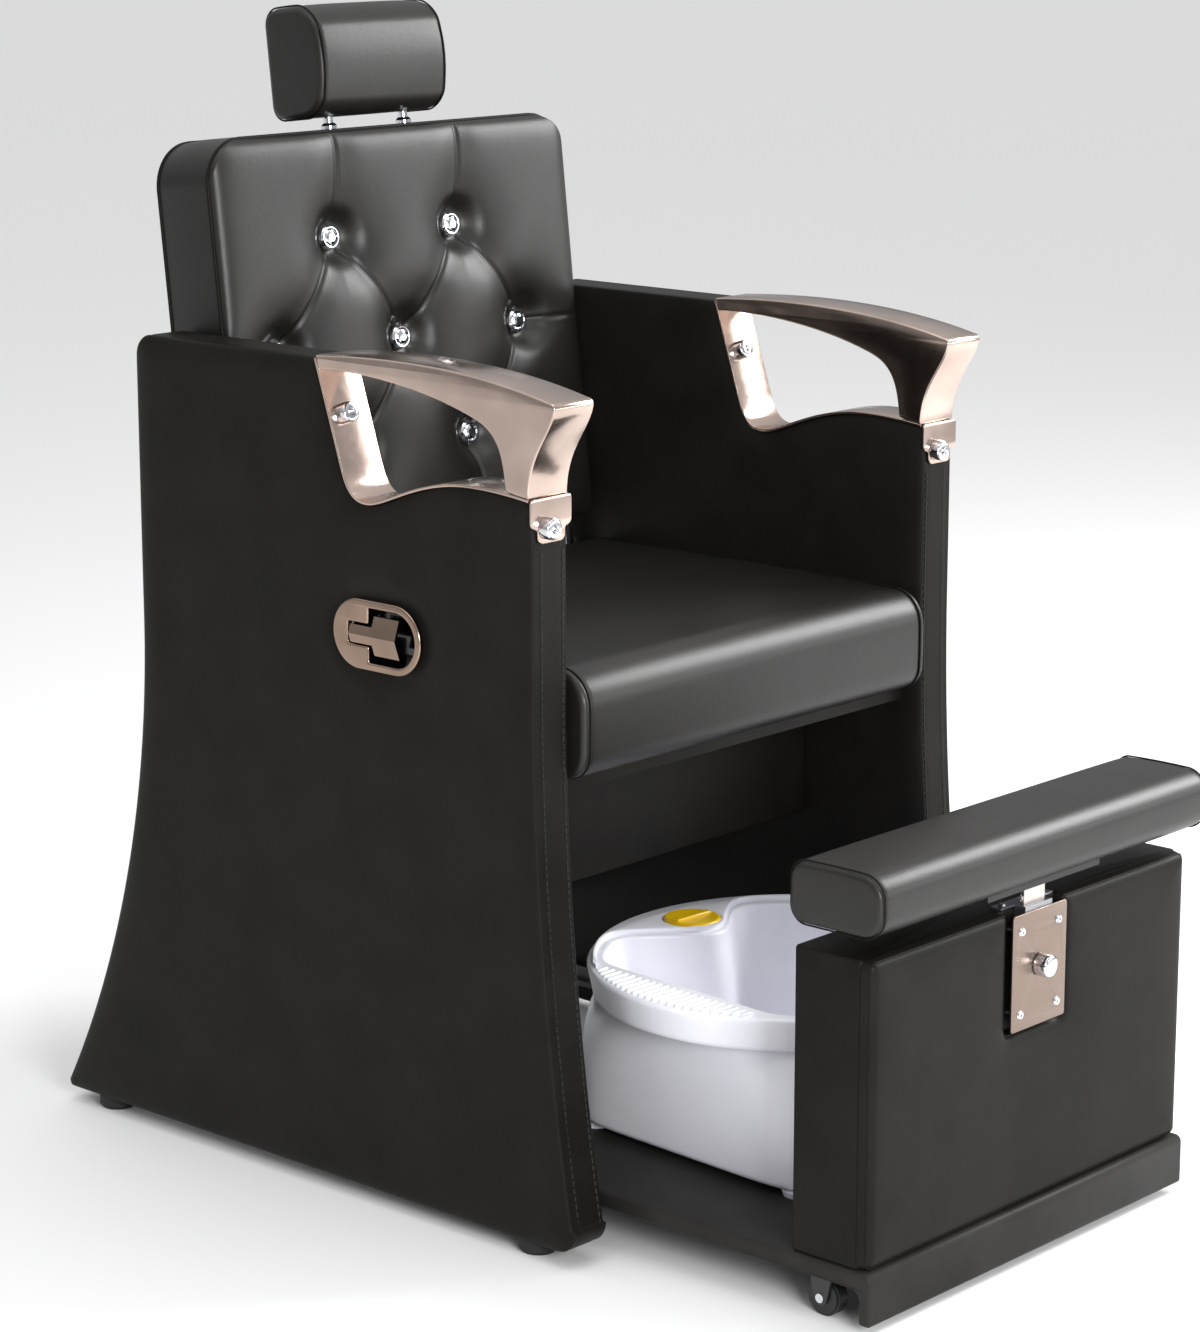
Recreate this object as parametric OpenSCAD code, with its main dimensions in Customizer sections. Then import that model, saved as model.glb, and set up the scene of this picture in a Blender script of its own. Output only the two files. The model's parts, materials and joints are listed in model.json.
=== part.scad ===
// Pedicure spa chair: two upholstered side panels with chromed arms, a reclining
// tufted back with a sliding headrest, and a rolling footrest tray that carries a
// foot basin. Millimetres, +Z up. It faces -Y, and +X is on the right of a person
// who looks at its front.
// Pieces are drawn with y = 0 at the front edge of the side panels and z = 0 at the
// floor, and settle() then sets the middle of the footprint on the origin.

/* [Side panels] */
// Width over both side panels
chair_w = 650; // [600:1:720]
// Thickness of one side panel
panel_t = 55; // [48:1:65]
// Height of the panel top behind the arm
panel_top = 852; // [835:1:880]
// Depth of the panel at its top
panel_d = 552; // [545:1:575]
// Height at which the feet of the panel begin to flare
flare_top = 560; // [500:1:600]
// Radius of the front flare
front_flare_r = 2920; // [2200:10:4000]
// Radius of the rear flare
rear_flare_r = 1070; // [1000:10:1600]
// Radius of the front bottom corner
foot_r = 12; // [8:1:30]
// Radius of the rear top corner
panel_corner_r = 22; // [10:1:40]
// Leather, foam and facing over the timber frame
skin_t = 9; // [6:0.5:12]
// Width of the timber frame members
timber_w = 45; // [30:1:50]
// Height of the glide feet
glide_h = 16; // [10:1:22]
// Diameter of the glide feet
glide_d = 40; // [30:1:50]
// Distance of the front glides from the panel's front bottom corner
glide_front = 69; // [35:1:90]
// Distance of the rear glides from the panel's rear bottom corner
glide_rear = 58; // [35:1:90]

/* [Arms] */
// Where the arm leaves the panel top, from the front edge
arm_back = 284; // [270:1:300]
// Height of the arm's highest line
arm_top = 860; // [845:1:880]
// Overhang of the arm's nose in front of the panel
arm_nose = 31; // [15:1:45]
// Lowest point of the hand cut-out: distance from the front edge
dip_y = 216; // [200:1:230]
// Lowest point of the hand cut-out: height
dip_z = 716; // [700:1:730]
// Height of the front shoulder of the panel
shoulder_z = 744; // [735:1:755]
// Rise of the shoulder's crest
crest_rise = 5; // [0:1:10]
// Thickness of the strap that lines the cut-out
strap_t = 3; // [2:0.5:4]
// Wall of the hollow arm
arm_wall = 3; // [2:0.5:4]
// Depth of the strap's tab on the panel front
tab_h = 28; // [24:1:36]
// Width of the tongue below the tab
tongue_w = 37; // [28:1:40]
// Diameter of the arm bolt heads
bolt_d = 21; // [14:1:22]
// Height of the arm bolt heads
bolt_h = 12; // [8:1:14]
// Offset of the arm bolts from the middle of the strap
bolt_shift = 8; // [0:1:10]

/* [Recline lever] */
// Distance of the lever plate's centre from the front edge
lever_y = 201; // [180:1:230]
// Height of the lever plate's centre
lever_z = 589; // [560:1:610]
// Length of the lever plate
plate_l = 120; // [112:1:130]
// Height of the lever plate
plate_w = 70; // [66:1:80]
// Width of the rim round the window of the lever plate
plate_rim = 8; // [6:0.5:10]
// Thickness of the lever plate
plate_t = 4; // [3:0.5:5]
// Depth of the finger cup behind the panel face
cup_d = 26; // [22:1:32]
// Length of the lever's paddle
paddle_l = 34; // [28:1:36]
// Height of the lever's paddle
paddle_h = 39; // [34:1:42]
// Rise of the ridge along the lever
ridge_h = 6.5; // [4:0.5:8]

/* [Seat] */
// Height of the underside of the seat cushion
seat_z = 467; // [462:1:490]
// Thickness of the seat cushion
seat_h = 114; // [95:1:118]
// Distance of the cushion's rear face from the front edge
seat_back = 453; // [430:1:456]
// Overhang of the cushion in front of the panels
seat_nose = 12; // [5:1:20]
// Gap between the cushion and each panel
seat_gap = 5; // [3:0.5:8]
// Radius of the waterfall edge
waterfall_r = 44; // [30:1:50]
// Crown of the seat
seat_crown = 7; // [3:1:12]
// Thickness of the seat board
board_t = 15; // [12:1:18]
// Section of the seat bearers
bearer_w = 30; // [22:1:34]
// Distance of the apron's face from the front edge
apron_y = 150; // [140:1:170]
// Height of the apron's lower edge
apron_z = 304; // [300:1:330]
// Thickness of the apron and of the rear stretcher
apron_t = 18; // [15:1:22]

/* [Backrest] */
// Width of the backrest
back_w = 522; // [500:1:534]
// Height of the backrest along its lean
back_h = 450; // [430:1:480]
// Thickness of the boxed core
core_t = 58; // [50:1:66]
// Thickness of the front pad at its edge
pad_edge = 20; // [16:1:24]
// Crown of the front pad between the buttons
pad_crown = 12; // [6:1:16]
// Lean of the back at rest, degrees from upright
lean = 6.5; // [4:0.5:9]
// Recline, degrees
recline = 40; // [30:1:42]
// Hinge: distance from the front edge
hinge_y = 492; // [488:1:498]
// Hinge: height
hinge_z = 557; // [552:1:566]
// Distance from the hinge line to the underside of the backrest
back_clear = 36; // [33:1:42]
// Distance from the hinge line to the front seam of the backrest
front_reach = 39.6; // [36:0.1:42]
// Radius of the backrest's top corners
back_corner_r = 46; // [30:1:60]
// Depth of the tufts behind the pad's seam
tuft = 14; // [8:1:15]
// Half the distance between neighbouring buttons in one row
button_dx = 90; // [78:1:94]
// Distance between the rows of buttons
button_ds = 113; // [100:1:118]
// Height of the lowest row above the hinge, along the back
button_s0 = 150; // [140:1:160]
// Diameter of a button
button_d = 26; // [20:1:30]
// Diameter of the hinge pins
hinge_d = 12; // [10:1:14]

/* [Headrest] */
// Width of the headrest
head_w = 188; // [170:1:240]
// Height of the headrest
head_h = 116; // [100:1:140]
// Depth of the headrest
head_t = 73; // [60:1:78]
// Gap between the backrest and the lowered headrest
head_gap = 14; // [6:1:16]
// Distance between the two posts
post_pitch = 110; // [80:1:130]
// Diameter of the posts
post_d = 10; // [8:0.5:12]
// Lift of the headrest
head_lift = 70; // [40:1:80]

/* [Gas strut] */
// Length of the strut's lever arm
strut_arm = 52; // [46:1:54]
// Height of the strut's lower pivot
strut_foot_z = 290; // [280:1:300]
// Diameter of the strut's cylinder
strut_d = 26; // [22:1:28]
// Diameter of the strut's rod
rod_d = 10; // [8:0.5:11]
// Length of the strut's cylinder
strut_l = 182; // [170:1:186]

/* [Footrest tray] */
// Travel of the tray
tray_travel = 330; // [300:1:335]
// Gap between the platform and each panel
tray_gap = 14; // [12:1:16]
// Distance of the tray's front face in front of the panels
tray_front = 356; // [350:1:370]
// Height of the platform's top
deck_z = 60; // [57:1:63]
// Thickness of the platform
deck_t = 18; // [15:1:20]
// Length of the platform
deck_l = 506; // [490:1:512]
// Height of the skirt's lower edge
skirt_z = 9; // [5:1:14]
// Thickness of the skirt
skirt_t = 14; // [12:1:18]
// Height of the box top
box_top = 358; // [345:1:362]
// Depth of the box without its front pad
box_d = 78; // [72:1:82]
// Thickness of the box's front pad at its edge
box_pad_t = 12; // [9:1:14]
// Diameter of the caster wheels
wheel_d = 38; // [34:1:38]
// Width of the caster wheels
wheel_w = 16; // [12:1:18]

/* [Footrest pad] */
// Depth of the pad
rest_d = 106; // [95:1:108]
// Thickness of the pad
rest_h = 60; // [50:1:62]
// Gap between the box and the lowered pad
rest_gap = 23; // [20:1:24]
// Overhang of the pad at each end of the box
rest_over = 10; // [4:1:12]
// Lift of the pad
rest_lift = 50; // [30:1:54]
// Width of the flat post
flat_w = 33; // [28:1:36]
// Thickness of the flat post
flat_t = 5; // [4:0.5:6]
// Width of the lock plate
lock_w = 86; // [80:1:90]
// Height of the lock plate
lock_h = 115; // [105:1:125]
// Diameter of the lock knob
knob_d = 22; // [18:1:26]
// Length of the lock knob
knob_l = 14; // [12:1:16]

/* [Basin] */
// Width of the basin's rim
basin_w = 420; // [400:1:426]
// Depth of the basin's rim
basin_d = 408; // [400:1:416]
// Distance of the basin's centre in front of the panels
basin_y = 44; // [42:1:46]
// Offset of the loose basin from the middle of the tray
basin_x = 12; // [0:1:14]
// Height of the rim's top above the platform
basin_h = 180; // [170:1:184]
// Depth of the rim's skirt
rim_h = 33; // [26:1:36]
// Draw-in of the rim's skirt at its lower edge
rim_draft = 6; // [3:1:7]
// Turn of the loose basin, degrees
basin_turn = 3.5; // [0:0.5:5]
// Width of the basin's foot
foot_w = 322; // [300:1:330]
// Depth of the basin's foot
foot_d = 330; // [310:1:340]
// Width of the basin's shell just under the rim
waist_w = 344; // [336:1:350]
// Inset of the basin's shell behind the rim, at its front and rear
waist_in = 15; // [14:1:16]
// Distance between the ribs of the ledges
rib_pitch = 9.5; // [7:0.5:14]
// Width of the rim round the well
rim_w = 14; // [12:1:18]
// Distance from the centre to each ribbed ledge
ledge_x = 152; // [140:1:160]
// Width of the control housing's round end
lobe_w = 76; // [72:1:90]
// Spread of the control housing's sides, degrees
lobe_spread = 50; // [30:1:55]
// Offset of the dial from the basin's middle
dial_x = 9; // [0:1:14]
// Distance of the dial from the basin's rear rim
dial_in = 54; // [50:1:58]
// Height of the control housing above the rim
lobe_rise = 6; // [4:1:8]
// Diameter of the dial
dial_d = 60; // [52:1:64]
// Wall of the basin
wall = 3; // [2:0.5:3]

/* [Hidden] */
$fn = 48;
e = 0.01;
run = 0.05;
fit = 0.3;
inner = chair_w / 2 - panel_t;
hinge_x = inner - 24;
ridge_out = 1;
lever_proud = ridge_out + ridge_h;
lock_proud = 0.5;
knob_cap = 1.4;
knob_front = tray_front + lock_proud + fit + knob_l + knob_cap;
panel_rear = panel_d + rear_flare_r
  - sqrt(rear_flare_r * rear_flare_r - pow(flare_top - glide_h, 2));
settle_x = lever_proud / 2;
settle_y = (knob_front - panel_rear) / 2;

black = "#2b2a29";
dark = "#1c1b1b";
rose = "#b39683";
bright = "#d9d9dc";
steel = "#8d8f92";
timber = "#b88f5e";
white = "#eeeef2";
yellow = "#eebd1c";

// ---------------------------------------------------------------- helpers

// Sets the middle of the footprint on the origin.
module settle() translate([settle_x, settle_y, 0]) children();

// Turns a (y, z) outline into a slab from x0 to x0 + t.
module slab_x(x0, t) translate([x0, 0, 0]) rotate([90, 0, 90]) linear_extrude(t) children();

// Turns an (x, z) outline into a slab from y0 to y0 + t.
module slab_y(y0, t) translate([0, y0 + t, 0]) rotate([90, 0, 0]) linear_extrude(t) children();

// A block given by its lowest and highest corners.
module block(lo, hi) translate(lo) cube(hi - lo);

// A round bar along X, Y or Z, given by its middle.
module bar_x(d, l) rotate([0, 90, 0]) cylinder(d = d, h = l, center = true);
module bar_y(d, l) rotate([90, 0, 0]) cylinder(d = d, h = l, center = true);

// Copies on both sides of the chair, at x = +a and x = -a.
module both(a) for (s = [-1, 1]) translate([s * a, 0, 0]) children();

// Points of a cubic Bezier curve, without its last point.
function bez(a, b, c, d, n) = [for (i = [0 : n - 1]) let (t = i / n, u = 1 - t)
  u * u * u * a + 3 * u * u * t * b + 3 * u * t * t * c + t * t * t * d];

// Points of an arc.
function arc(c, r, a0, a1, n) =
  [for (i = [0 : n]) let (a = a0 + (a1 - a0) * i / n) c + r * [cos(a), sin(a)]];

// Points strictly between two points.
function between(a, b, n) = [for (i = [1 : n - 1]) a + (b - a) * i / n];

// Corner radii less an inset, as the rings of a rounded end need them.
function shrink(r, inset) = [for (v = r) max(2, v - inset)];

// A box outline with four corner radii, from its low corner to its high corner.
// r holds the radii of the corners (low, low), (low, high), (high, high), (high, low).
function box_ring(lo, hi, r, n, m) = let (
    c0 = arc([lo[0] + r[0], lo[1] + r[0]], r[0], 270, 180, n),
    c1 = arc([lo[0] + r[1], hi[1] - r[1]], r[1], 180, 90, n),
    c2 = arc([hi[0] - r[2], hi[1] - r[2]], r[2], 90, 0, n),
    c3 = arc([hi[0] - r[3], lo[1] + r[3]], r[3], 0, -90, n))
  concat(c0, between(c0[n], c1[0], m), c1, between(c1[n], c2[0], m),
    c2, between(c2[n], c3[0], m), c3, between(c3[n], c0[0], m));

// Pushes the points of a ring outward over its low-a side (front) and high-b side (top).
function swell(ring, lo, hi, front, top) = [for (p = ring) let (
    u = (2 * p[0] - lo[0] - hi[0]) / (hi[0] - lo[0]),
    v = (2 * p[1] - lo[1] - hi[1]) / (hi[1] - lo[1]))
  [p[0] - front * max(0, -u) * (1 - v * v), p[1] + top * max(0, v) * (1 - u * u)]];

// A closed solid through rings with equal numbers of points, with a fan at each end.
module loft(rings) {
  n = len(rings[0]);
  m = len(rings);
  middle = function (ring) [for (k = [0 : 2]) let (v = [for (p = ring) p[k]])
    v * [for (p = ring) 1] / n];
  points = concat([for (ring = rings) each ring], [middle(rings[0]), middle(rings[m - 1])]);
  sides = [for (i = [0 : m - 2], j = [0 : n - 1]) let (
      k = (j + 1) % n, a = i * n + j, b = i * n + k, c = a + n, d = b + n)
    each [[a, b, d], [a, d, c]]];
  ends = [for (j = [0 : n - 1]) let (k = (j + 1) % n)
    each [[m * n, k, j], [m * n + 1, (m - 1) * n + j, (m - 1) * n + k]]];
  polyhedron(points, concat(sides, ends));
}

// A superellipse ring of half-widths a and b with exponent p, clockwise.
function oval(a, b, p, n) = [for (i = [0 : n - 1]) let (t = -360 * i / n, c = cos(t), s = sin(t))
  [a * sign(c) * pow(abs(c), 2 / p), b * sign(s) * pow(abs(s), 2 / p)]];

// ---------------------------------------------------------------- side panels

function front_edge(z) = z > flare_top ? 0
  : sqrt(front_flare_r * front_flare_r - pow(flare_top - z, 2)) - front_flare_r;
function rear_edge(z) = z > flare_top ? panel_d
  : panel_d + rear_flare_r - sqrt(rear_flare_r * rear_flare_r - pow(flare_top - z, 2));

flare_steps = 12;
flare_z = [for (i = [0 : flare_steps]) glide_h + (flare_top - glide_h) * i / flare_steps];
function foot_corner(z) = z > glide_h + foot_r ? 0
  : foot_r - sqrt(foot_r * foot_r - pow(foot_r + glide_h - z, 2));
foot_z = concat([for (a = [0 : 22.5 : 80]) glide_h + foot_r * (1 - cos(a))],
  [for (i = [1 : flare_steps]) glide_h + foot_r + (flare_top - glide_h - foot_r) * i / flare_steps]);
cut_top = [arm_back + 2, panel_top];
cut_slope_end = [dip_y + 34, dip_z + 28];
cut_crest = [75, shoulder_z + crest_rise];
cut_front = [2, shoulder_z];

// The curved edge of the hand cut-out, from the panel top to the front shoulder.
cut_edge = concat([cut_top],
  bez(cut_slope_end, [dip_y + 26, dip_z + 5], [dip_y + 14, dip_z], [dip_y, dip_z], 6),
  bez([dip_y, dip_z], [dip_y - 26, dip_z], cut_crest + [70, 0], cut_crest, 8),
  bez(cut_crest, cut_crest - [28, 0], cut_front + [24, 3], cut_front, 6), [cut_front]);

module panel_outline() polygon(concat(
  [for (z = foot_z) [front_edge(z) + foot_corner(z), z]],
  [[0, shoulder_z - 4]],
  [for (i = [len(cut_edge) - 1 : -1 : 0]) cut_edge[i]],
  arc([panel_d - panel_corner_r, panel_top - panel_corner_r], panel_corner_r, 90, 0, 6),
  [for (i = [flare_steps : -1 : 0]) [rear_edge(flare_z[i]), flare_z[i]]]));

module cavity_outline() offset(delta = -skin_t) panel_outline();
module lever_stadium(l, w) for (s = [-1, 1]) {
  translate([lever_y + s * (l - w) / 2, lever_z]) circle(d = w);
  translate([lever_y - (l - w) / 2, lever_z - w / 2]) square([l - w, w]);
}

cup_l = plate_l - 8;
cup_w = plate_w - 8;
glide_pos = [front_edge(glide_h) + glide_front, rear_edge(glide_h) - glide_rear];
glide_stem_d = 8;
glide_stem_l = 24;
cable_exit = [275, 406];
cable_hole_d = 15;
strap_bolt_z = 797;
tab_bolt_z = shoulder_z - 25;
shank_d = 8;
shank_l = 34;
strap_tilt = atan2(cut_top[1] - cut_slope_end[1], cut_top[0] - cut_slope_end[0]);

// The four arm bolts: pose of each bolt, with its head along +Z.
module at_bolts(side) {
  x = side * (chair_w - panel_t) / 2 - bolt_shift;
  t = (strap_bolt_z - cut_slope_end[1]) / (cut_top[1] - cut_slope_end[1]);
  seat = cut_slope_end + t * (cut_top - cut_slope_end);
  translate([x, seat[0], seat[1]]) rotate([strap_tilt, 0, 0]) translate([0, 0, strap_t]) children();
  translate([x, -strap_t, tab_bolt_z]) rotate([90, 0, 0]) children();
}
module bolt_holes(side) at_bolts(side) translate([0, 0, -shank_l - 1])
  cylinder(d = shank_d + 2 * run, h = shank_l + 2);
module stem_holes() for (y = glide_pos) translate([0, y, glide_h - 1])
  cylinder(d = glide_stem_d + 2 * run, h = glide_stem_l + 2);

module side_cover(side) color(black) difference() {
  x0 = side > 0 ? inner : -chair_w / 2;
  slab_x(x0, panel_t) panel_outline();
  slab_x(x0 + skin_t, panel_t - 2 * skin_t) cavity_outline();
  bolt_holes(side);
  translate([x0 + panel_t / 2, 0, 0]) stem_holes();
  if (side < 0) {
    slab_x(x0 - 1, skin_t + 2) offset(delta = fit) lever_stadium(cup_l, cup_w);
    translate([-inner - skin_t / 2, cable_exit[0], cable_exit[1]]) bar_x(cable_hole_d, skin_t + 2);
  }
}
module side_cover_left() side_cover(-1);
module side_cover_right() side_cover(1);

module side_frames() color(timber) for (side = [-1, 1]) {
  x0 = side > 0 ? inner : -chair_w / 2;
  difference() {
    slab_x(x0 + skin_t, panel_t - 2 * skin_t) difference() {
      cavity_outline();
      offset(delta = -skin_t - timber_w) panel_outline();
    }
    bolt_holes(side);
    translate([x0 + panel_t / 2, 0, 0]) stem_holes();
  }
}

module glide_feet() color(dark) both((chair_w - panel_t) / 2) for (y = glide_pos)
  translate([0, y, 0]) {
    cylinder(d1 = glide_d - 6, d2 = glide_d, h = 4);
    translate([0, 0, 4]) cylinder(d = glide_d, h = glide_h - 4);
    cylinder(d = glide_stem_d, h = glide_h + glide_stem_l);
  }

// ---------------------------------------------------------------- arms

// Everything in front of and above the cut edge, out to beyond the arm.
module cut_region(inset) offset(delta = -inset) polygon(concat(cut_edge,
  [[-90, shoulder_z], [-90, arm_top + 60], [arm_back + 20, arm_top + 60]]));

arm_foot = 31;
module arm_outline() intersection() {
  cut_region(strap_t);
  polygon(concat(
    bez([arm_back + 12, arm_top - 6], [arm_back - 84, arm_top + 3],
      [80, arm_top + 4], [-arm_nose + 6, arm_top - 20], 14),
    arc([-arm_nose + 5, arm_top - 26], 6, 100, 200, 5),
    bez([-arm_nose + 1, arm_top - 34], [-20, arm_top - 58],
      [cut_front[0] - 1, arm_top - 74], [cut_front[0], shoulder_z - 10], 10),
    [[cut_front[0], shoulder_z - 10], [arm_foot, shoulder_z - 10]],
    bez([arm_foot, shoulder_z + 5], [arm_foot + 5, arm_top - 72],
      [arm_foot + 9, arm_top - 54], [77, arm_top - 43], 8),
    bez([77, arm_top - 43], [130, arm_top - 26],
      [arm_back - 74, arm_top - 14], [arm_back + 12, arm_top - 17], 10),
    [[arm_back + 12, arm_top - 17]]));
}
module armrest(side) color(rose) {
  x0 = side > 0 ? inner : -chair_w / 2;
  difference() {
    slab_x(x0, panel_t) arm_outline();
    slab_x(x0 + arm_wall, panel_t - 2 * arm_wall) offset(delta = -arm_wall) arm_outline();
  }
}
module armrest_left() armrest(-1);
module armrest_right() armrest(1);

module strap_band() intersection() {
  difference() {
    cut_region(0);
    cut_region(strap_t);
  }
  polygon([[-strap_t, shoulder_z - 60], [-strap_t, arm_top - 6], [arm_back + 12, arm_top - 6],
    [arm_back + 12, shoulder_z - 60]]);
}
tab_r = 7;
tongue_z = tab_bolt_z - 15;
module tab_outline() {
  low = shoulder_z + 2 - tab_h;
  translate([-panel_t / 2, low + tab_r]) square([panel_t, tab_h - tab_r]);
  for (s = [-1, 1]) translate([s * (panel_t / 2 - tab_r), low + tab_r]) circle(r = tab_r);
  translate([tab_r - panel_t / 2, low]) square([panel_t - 2 * tab_r, tab_r]);
  translate([-tongue_w / 2, tongue_z + tab_r]) square([tongue_w, tab_bolt_z - tongue_z]);
  for (s = [-1, 1]) translate([s * (tongue_w / 2 - tab_r), tongue_z + tab_r]) circle(r = tab_r);
  translate([tab_r - tongue_w / 2, tongue_z]) square([tongue_w - 2 * tab_r, tab_r]);
}
module arm_straps() color(rose) for (side = [-1, 1]) difference() {
  union() {
    slab_x(side > 0 ? inner : -chair_w / 2, panel_t) strap_band();
    translate([side * (chair_w - panel_t) / 2, 0, 0]) slab_y(-strap_t, strap_t) tab_outline();
  }
  bolt_holes(side);
}

socket_d = 8;
module arm_bolts() color(bright) for (side = [-1, 1]) at_bolts(side) {
  translate([0, 0, -shank_l]) cylinder(d = shank_d, h = shank_l);
  difference() {
    union() {
      cylinder(d = bolt_d, h = bolt_h - 1);
      translate([0, 0, bolt_h - 1]) cylinder(d1 = bolt_d, d2 = bolt_d - 2, h = 1);
    }
    translate([0, 0, bolt_h - 6]) cylinder(d = socket_d, h = 7, $fn = 6);
  }
}

// ---------------------------------------------------------------- recline lever

face_x = -chair_w / 2;
window_w = plate_w - 2 * plate_rim;
window_r = lever_y - plate_l / 2 + plate_w / 2;
window_l = 36;
slot_w = 22;
slot_end = lever_y + plate_l / 2 - 21;
paddle_end = lever_y - plate_l / 2 + 31;
tongue_h = 18;
tongue_end = slot_end - 4.5;
lever_pin_d = 4;
pivot = [face_x + 6, slot_end + 3];
barrel_d = 8;

module lever_window() {
  translate([window_r, lever_z]) circle(d = window_w);
  translate([window_r, lever_z - window_w / 2]) square([window_l, window_w]);
  translate([window_r, lever_z - slot_w / 2]) square([slot_end - window_r, slot_w]);
}
module lever_plate() color(rose) slab_x(face_x - plate_t, plate_t) difference() {
  lever_stadium(plate_l, plate_w);
  lever_window();
}
module lever_cup() color(dark) difference() {
  slab_x(face_x, cup_d) lever_stadium(cup_l, cup_w);
  slab_x(face_x - 1, cup_d - 1.5) lever_stadium(cup_l - 5, cup_w - 5);
  translate([pivot[0], pivot[1], lever_z]) cylinder(d = lever_pin_d + 2 * run, h = cup_w, center = true);
}
module lever_pin() color(steel) translate([pivot[0], pivot[1], lever_z])
  cylinder(d = lever_pin_d, h = cup_w - 16, center = true);

// The lever is a plate bent along its length, with a narrow tongue and a wide paddle.
lever_t = 2.5;
module lever_section() {
  polygon([[ridge_out + ridge_h, 0], [ridge_out, paddle_h / 2], [ridge_out - lever_t, paddle_h / 2],
    [ridge_out + ridge_h - lever_t, 0], [ridge_out - lever_t, -paddle_h / 2],
    [ridge_out, -paddle_h / 2]]);
}
module recline_lever() color(rose) {
  web_y = tongue_end - 8;
  difference() {
    translate([face_x, tongue_end, lever_z]) rotate([90, 0, 0])
      linear_extrude(tongue_end - paddle_end) mirror([1, 0, 0]) lever_section();
    for (s = [-1, 1]) translate([face_x - 12, paddle_end + paddle_l, lever_z + (s > 0 ? tongue_h / 2
      : -tongue_h / 2 - paddle_h)]) cube([24, tongue_end - paddle_end, paddle_h]);
  }
  block([face_x - 5, web_y, lever_z - 7], [pivot[0] + 1, web_y + 3, lever_z + 7]);
  difference() {
    union() {
      block([pivot[0] - 2, web_y, lever_z - 7], [pivot[0] + 1, pivot[1], lever_z + 7]);
      translate([pivot[0], pivot[1], lever_z]) cylinder(d = barrel_d, h = 14, center = true);
    }
    translate([pivot[0], pivot[1], lever_z]) cylinder(d = lever_pin_d + 2 * run, h = 20, center = true);
  }
}

// Bowden cable from the lever cup to the release head of the gas strut. Its points
// are chosen by hand and joined by one smooth curve.
cable_d = 7;
cable_step = 3;
cable_route = [[-inner - 29, 226, 589], [-inner - 21, 227, 587], [-inner - 18, 232, 570],
  [-inner - 20, 246, 520], [-inner - 24, 260, 464], [-inner - 23, 268, 432],
  [-inner - 17, 272, 415], [-inner - 5, 275, 406], [-inner + 15, 279, 403], [-inner + 48, 294, 396],
  [-180, 330, 388], [-140, 380, 380], [-104, 436, 366], [-76, 490, 342], [-54, 528, 318],
  [-34, 541, 310], [-12.4 - fit, 541, 309]];
function spline(p, i, t) = let (
    a = p[max(i - 1, 0)], b = p[i], c = p[i + 1], d = p[min(i + 2, len(p) - 1)])
  0.5 * ((2 * b) + (c - a) * t + (2 * a - 5 * b + 4 * c - d) * t * t
    + (3 * b - a - 3 * c + d) * t * t * t);
function unit(v) = v / norm(v);
module tube(route, d, sides, steps) {
  path = concat([for (i = [0 : len(route) - 2], k = [0 : steps - 1]) spline(route, i, k / steps)],
    [route[len(route) - 1]]);
  n = len(path);
  loft([for (i = [0 : n - 1]) let (
      t = unit(path[min(i + 1, n - 1)] - path[max(i - 1, 0)]),
      u = unit(cross(t, [0, 0.2, 1])), v = cross(t, u))
    [for (j = [0 : sides - 1]) let (a = 360 * j / sides)
      path[i] + d / 2 * (cos(a) * u - sin(a) * v)]]);
}
module release_cable() color(dark) tube(cable_route, cable_d, 8, cable_step);

// ---------------------------------------------------------------- seat

board_z = seat_z - board_t;
bearer_z = board_z - bearer_w;
bearer_end = hinge_y + 30;
seat_half = inner - seat_gap;

module seat_cushion() color(black) {
  lo = [-seat_nose, seat_z];
  hi = [seat_back, seat_z + seat_h - seat_crown];
  ends = [[1, 26], [0.995, 7], [0.98, 1], [0.95, 0], [0.7, 0], [0.35, 0]];
  stations = concat(ends, [[0, 0]], [for (i = [len(ends) - 1 : -1 : 0]) [-ends[i][0], ends[i][1]]]);
  loft([for (s = [for (i = [len(stations) - 1 : -1 : 0]) stations[i]])
    let (a = lo + [s[1], 0], b = hi - [s[1], s[1]],
      ring = swell(box_ring(a, b, shrink([24, waterfall_r, 18, 8], s[1]), 6, 4), a, b, 2,
        seat_crown * (1 - s[0] * s[0])))
    [for (p = ring) [s[0] * seat_half, p[0], p[1]]]]);
}
module seat_board() color(timber) block([-inner + fit, 20, board_z], [inner - fit, seat_back - 2, seat_z]);
module seat_bearers() color(timber) both(inner - bearer_w / 2)
  block([-bearer_w / 2, apron_y + apron_t, bearer_z], [bearer_w / 2, bearer_end, board_z]);
module apron() color(black) block([-inner, apron_y, apron_z], [inner, apron_y + apron_t, board_z]);

stretcher_y = hinge_y + 41;
stretcher_h = 120;
stretcher_top = strut_foot_z - 28;
module rear_stretcher() color(black)
  block([-inner, stretcher_y, stretcher_top - stretcher_h], [inner, stretcher_y + apron_t, stretcher_top]);

rail_t = 11;
rail_h = 24;
groove_d = 8;
groove_h = 12;
runner_in = 12;
runner_end = deck_l - tray_front - runner_in;
rail_y = [30, runner_end + tray_travel + 38];
rail_z = deck_z - deck_t / 2;
module tray_rails() color(steel) for (s = [-1, 1]) translate([s * inner, 0, rail_z]) difference() {
  block([s > 0 ? -rail_t : 0, rail_y[0], -rail_h / 2], [s > 0 ? 0 : rail_t, rail_y[1], rail_h / 2]);
  block([s > 0 ? -rail_t - 1 : rail_t - groove_d, rail_y[0] - 1, -groove_h / 2],
    [s > 0 ? groove_d - rail_t : rail_t + 1, rail_y[1] + 1, groove_h / 2]);
}

// ---------------------------------------------------------------- backrest

// The back is drawn upright from its hinge line, then set on it at its lean.
module on_hinge() translate([0, hinge_y, hinge_z]) rotate([-lean, 0, 0]) children();

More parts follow.
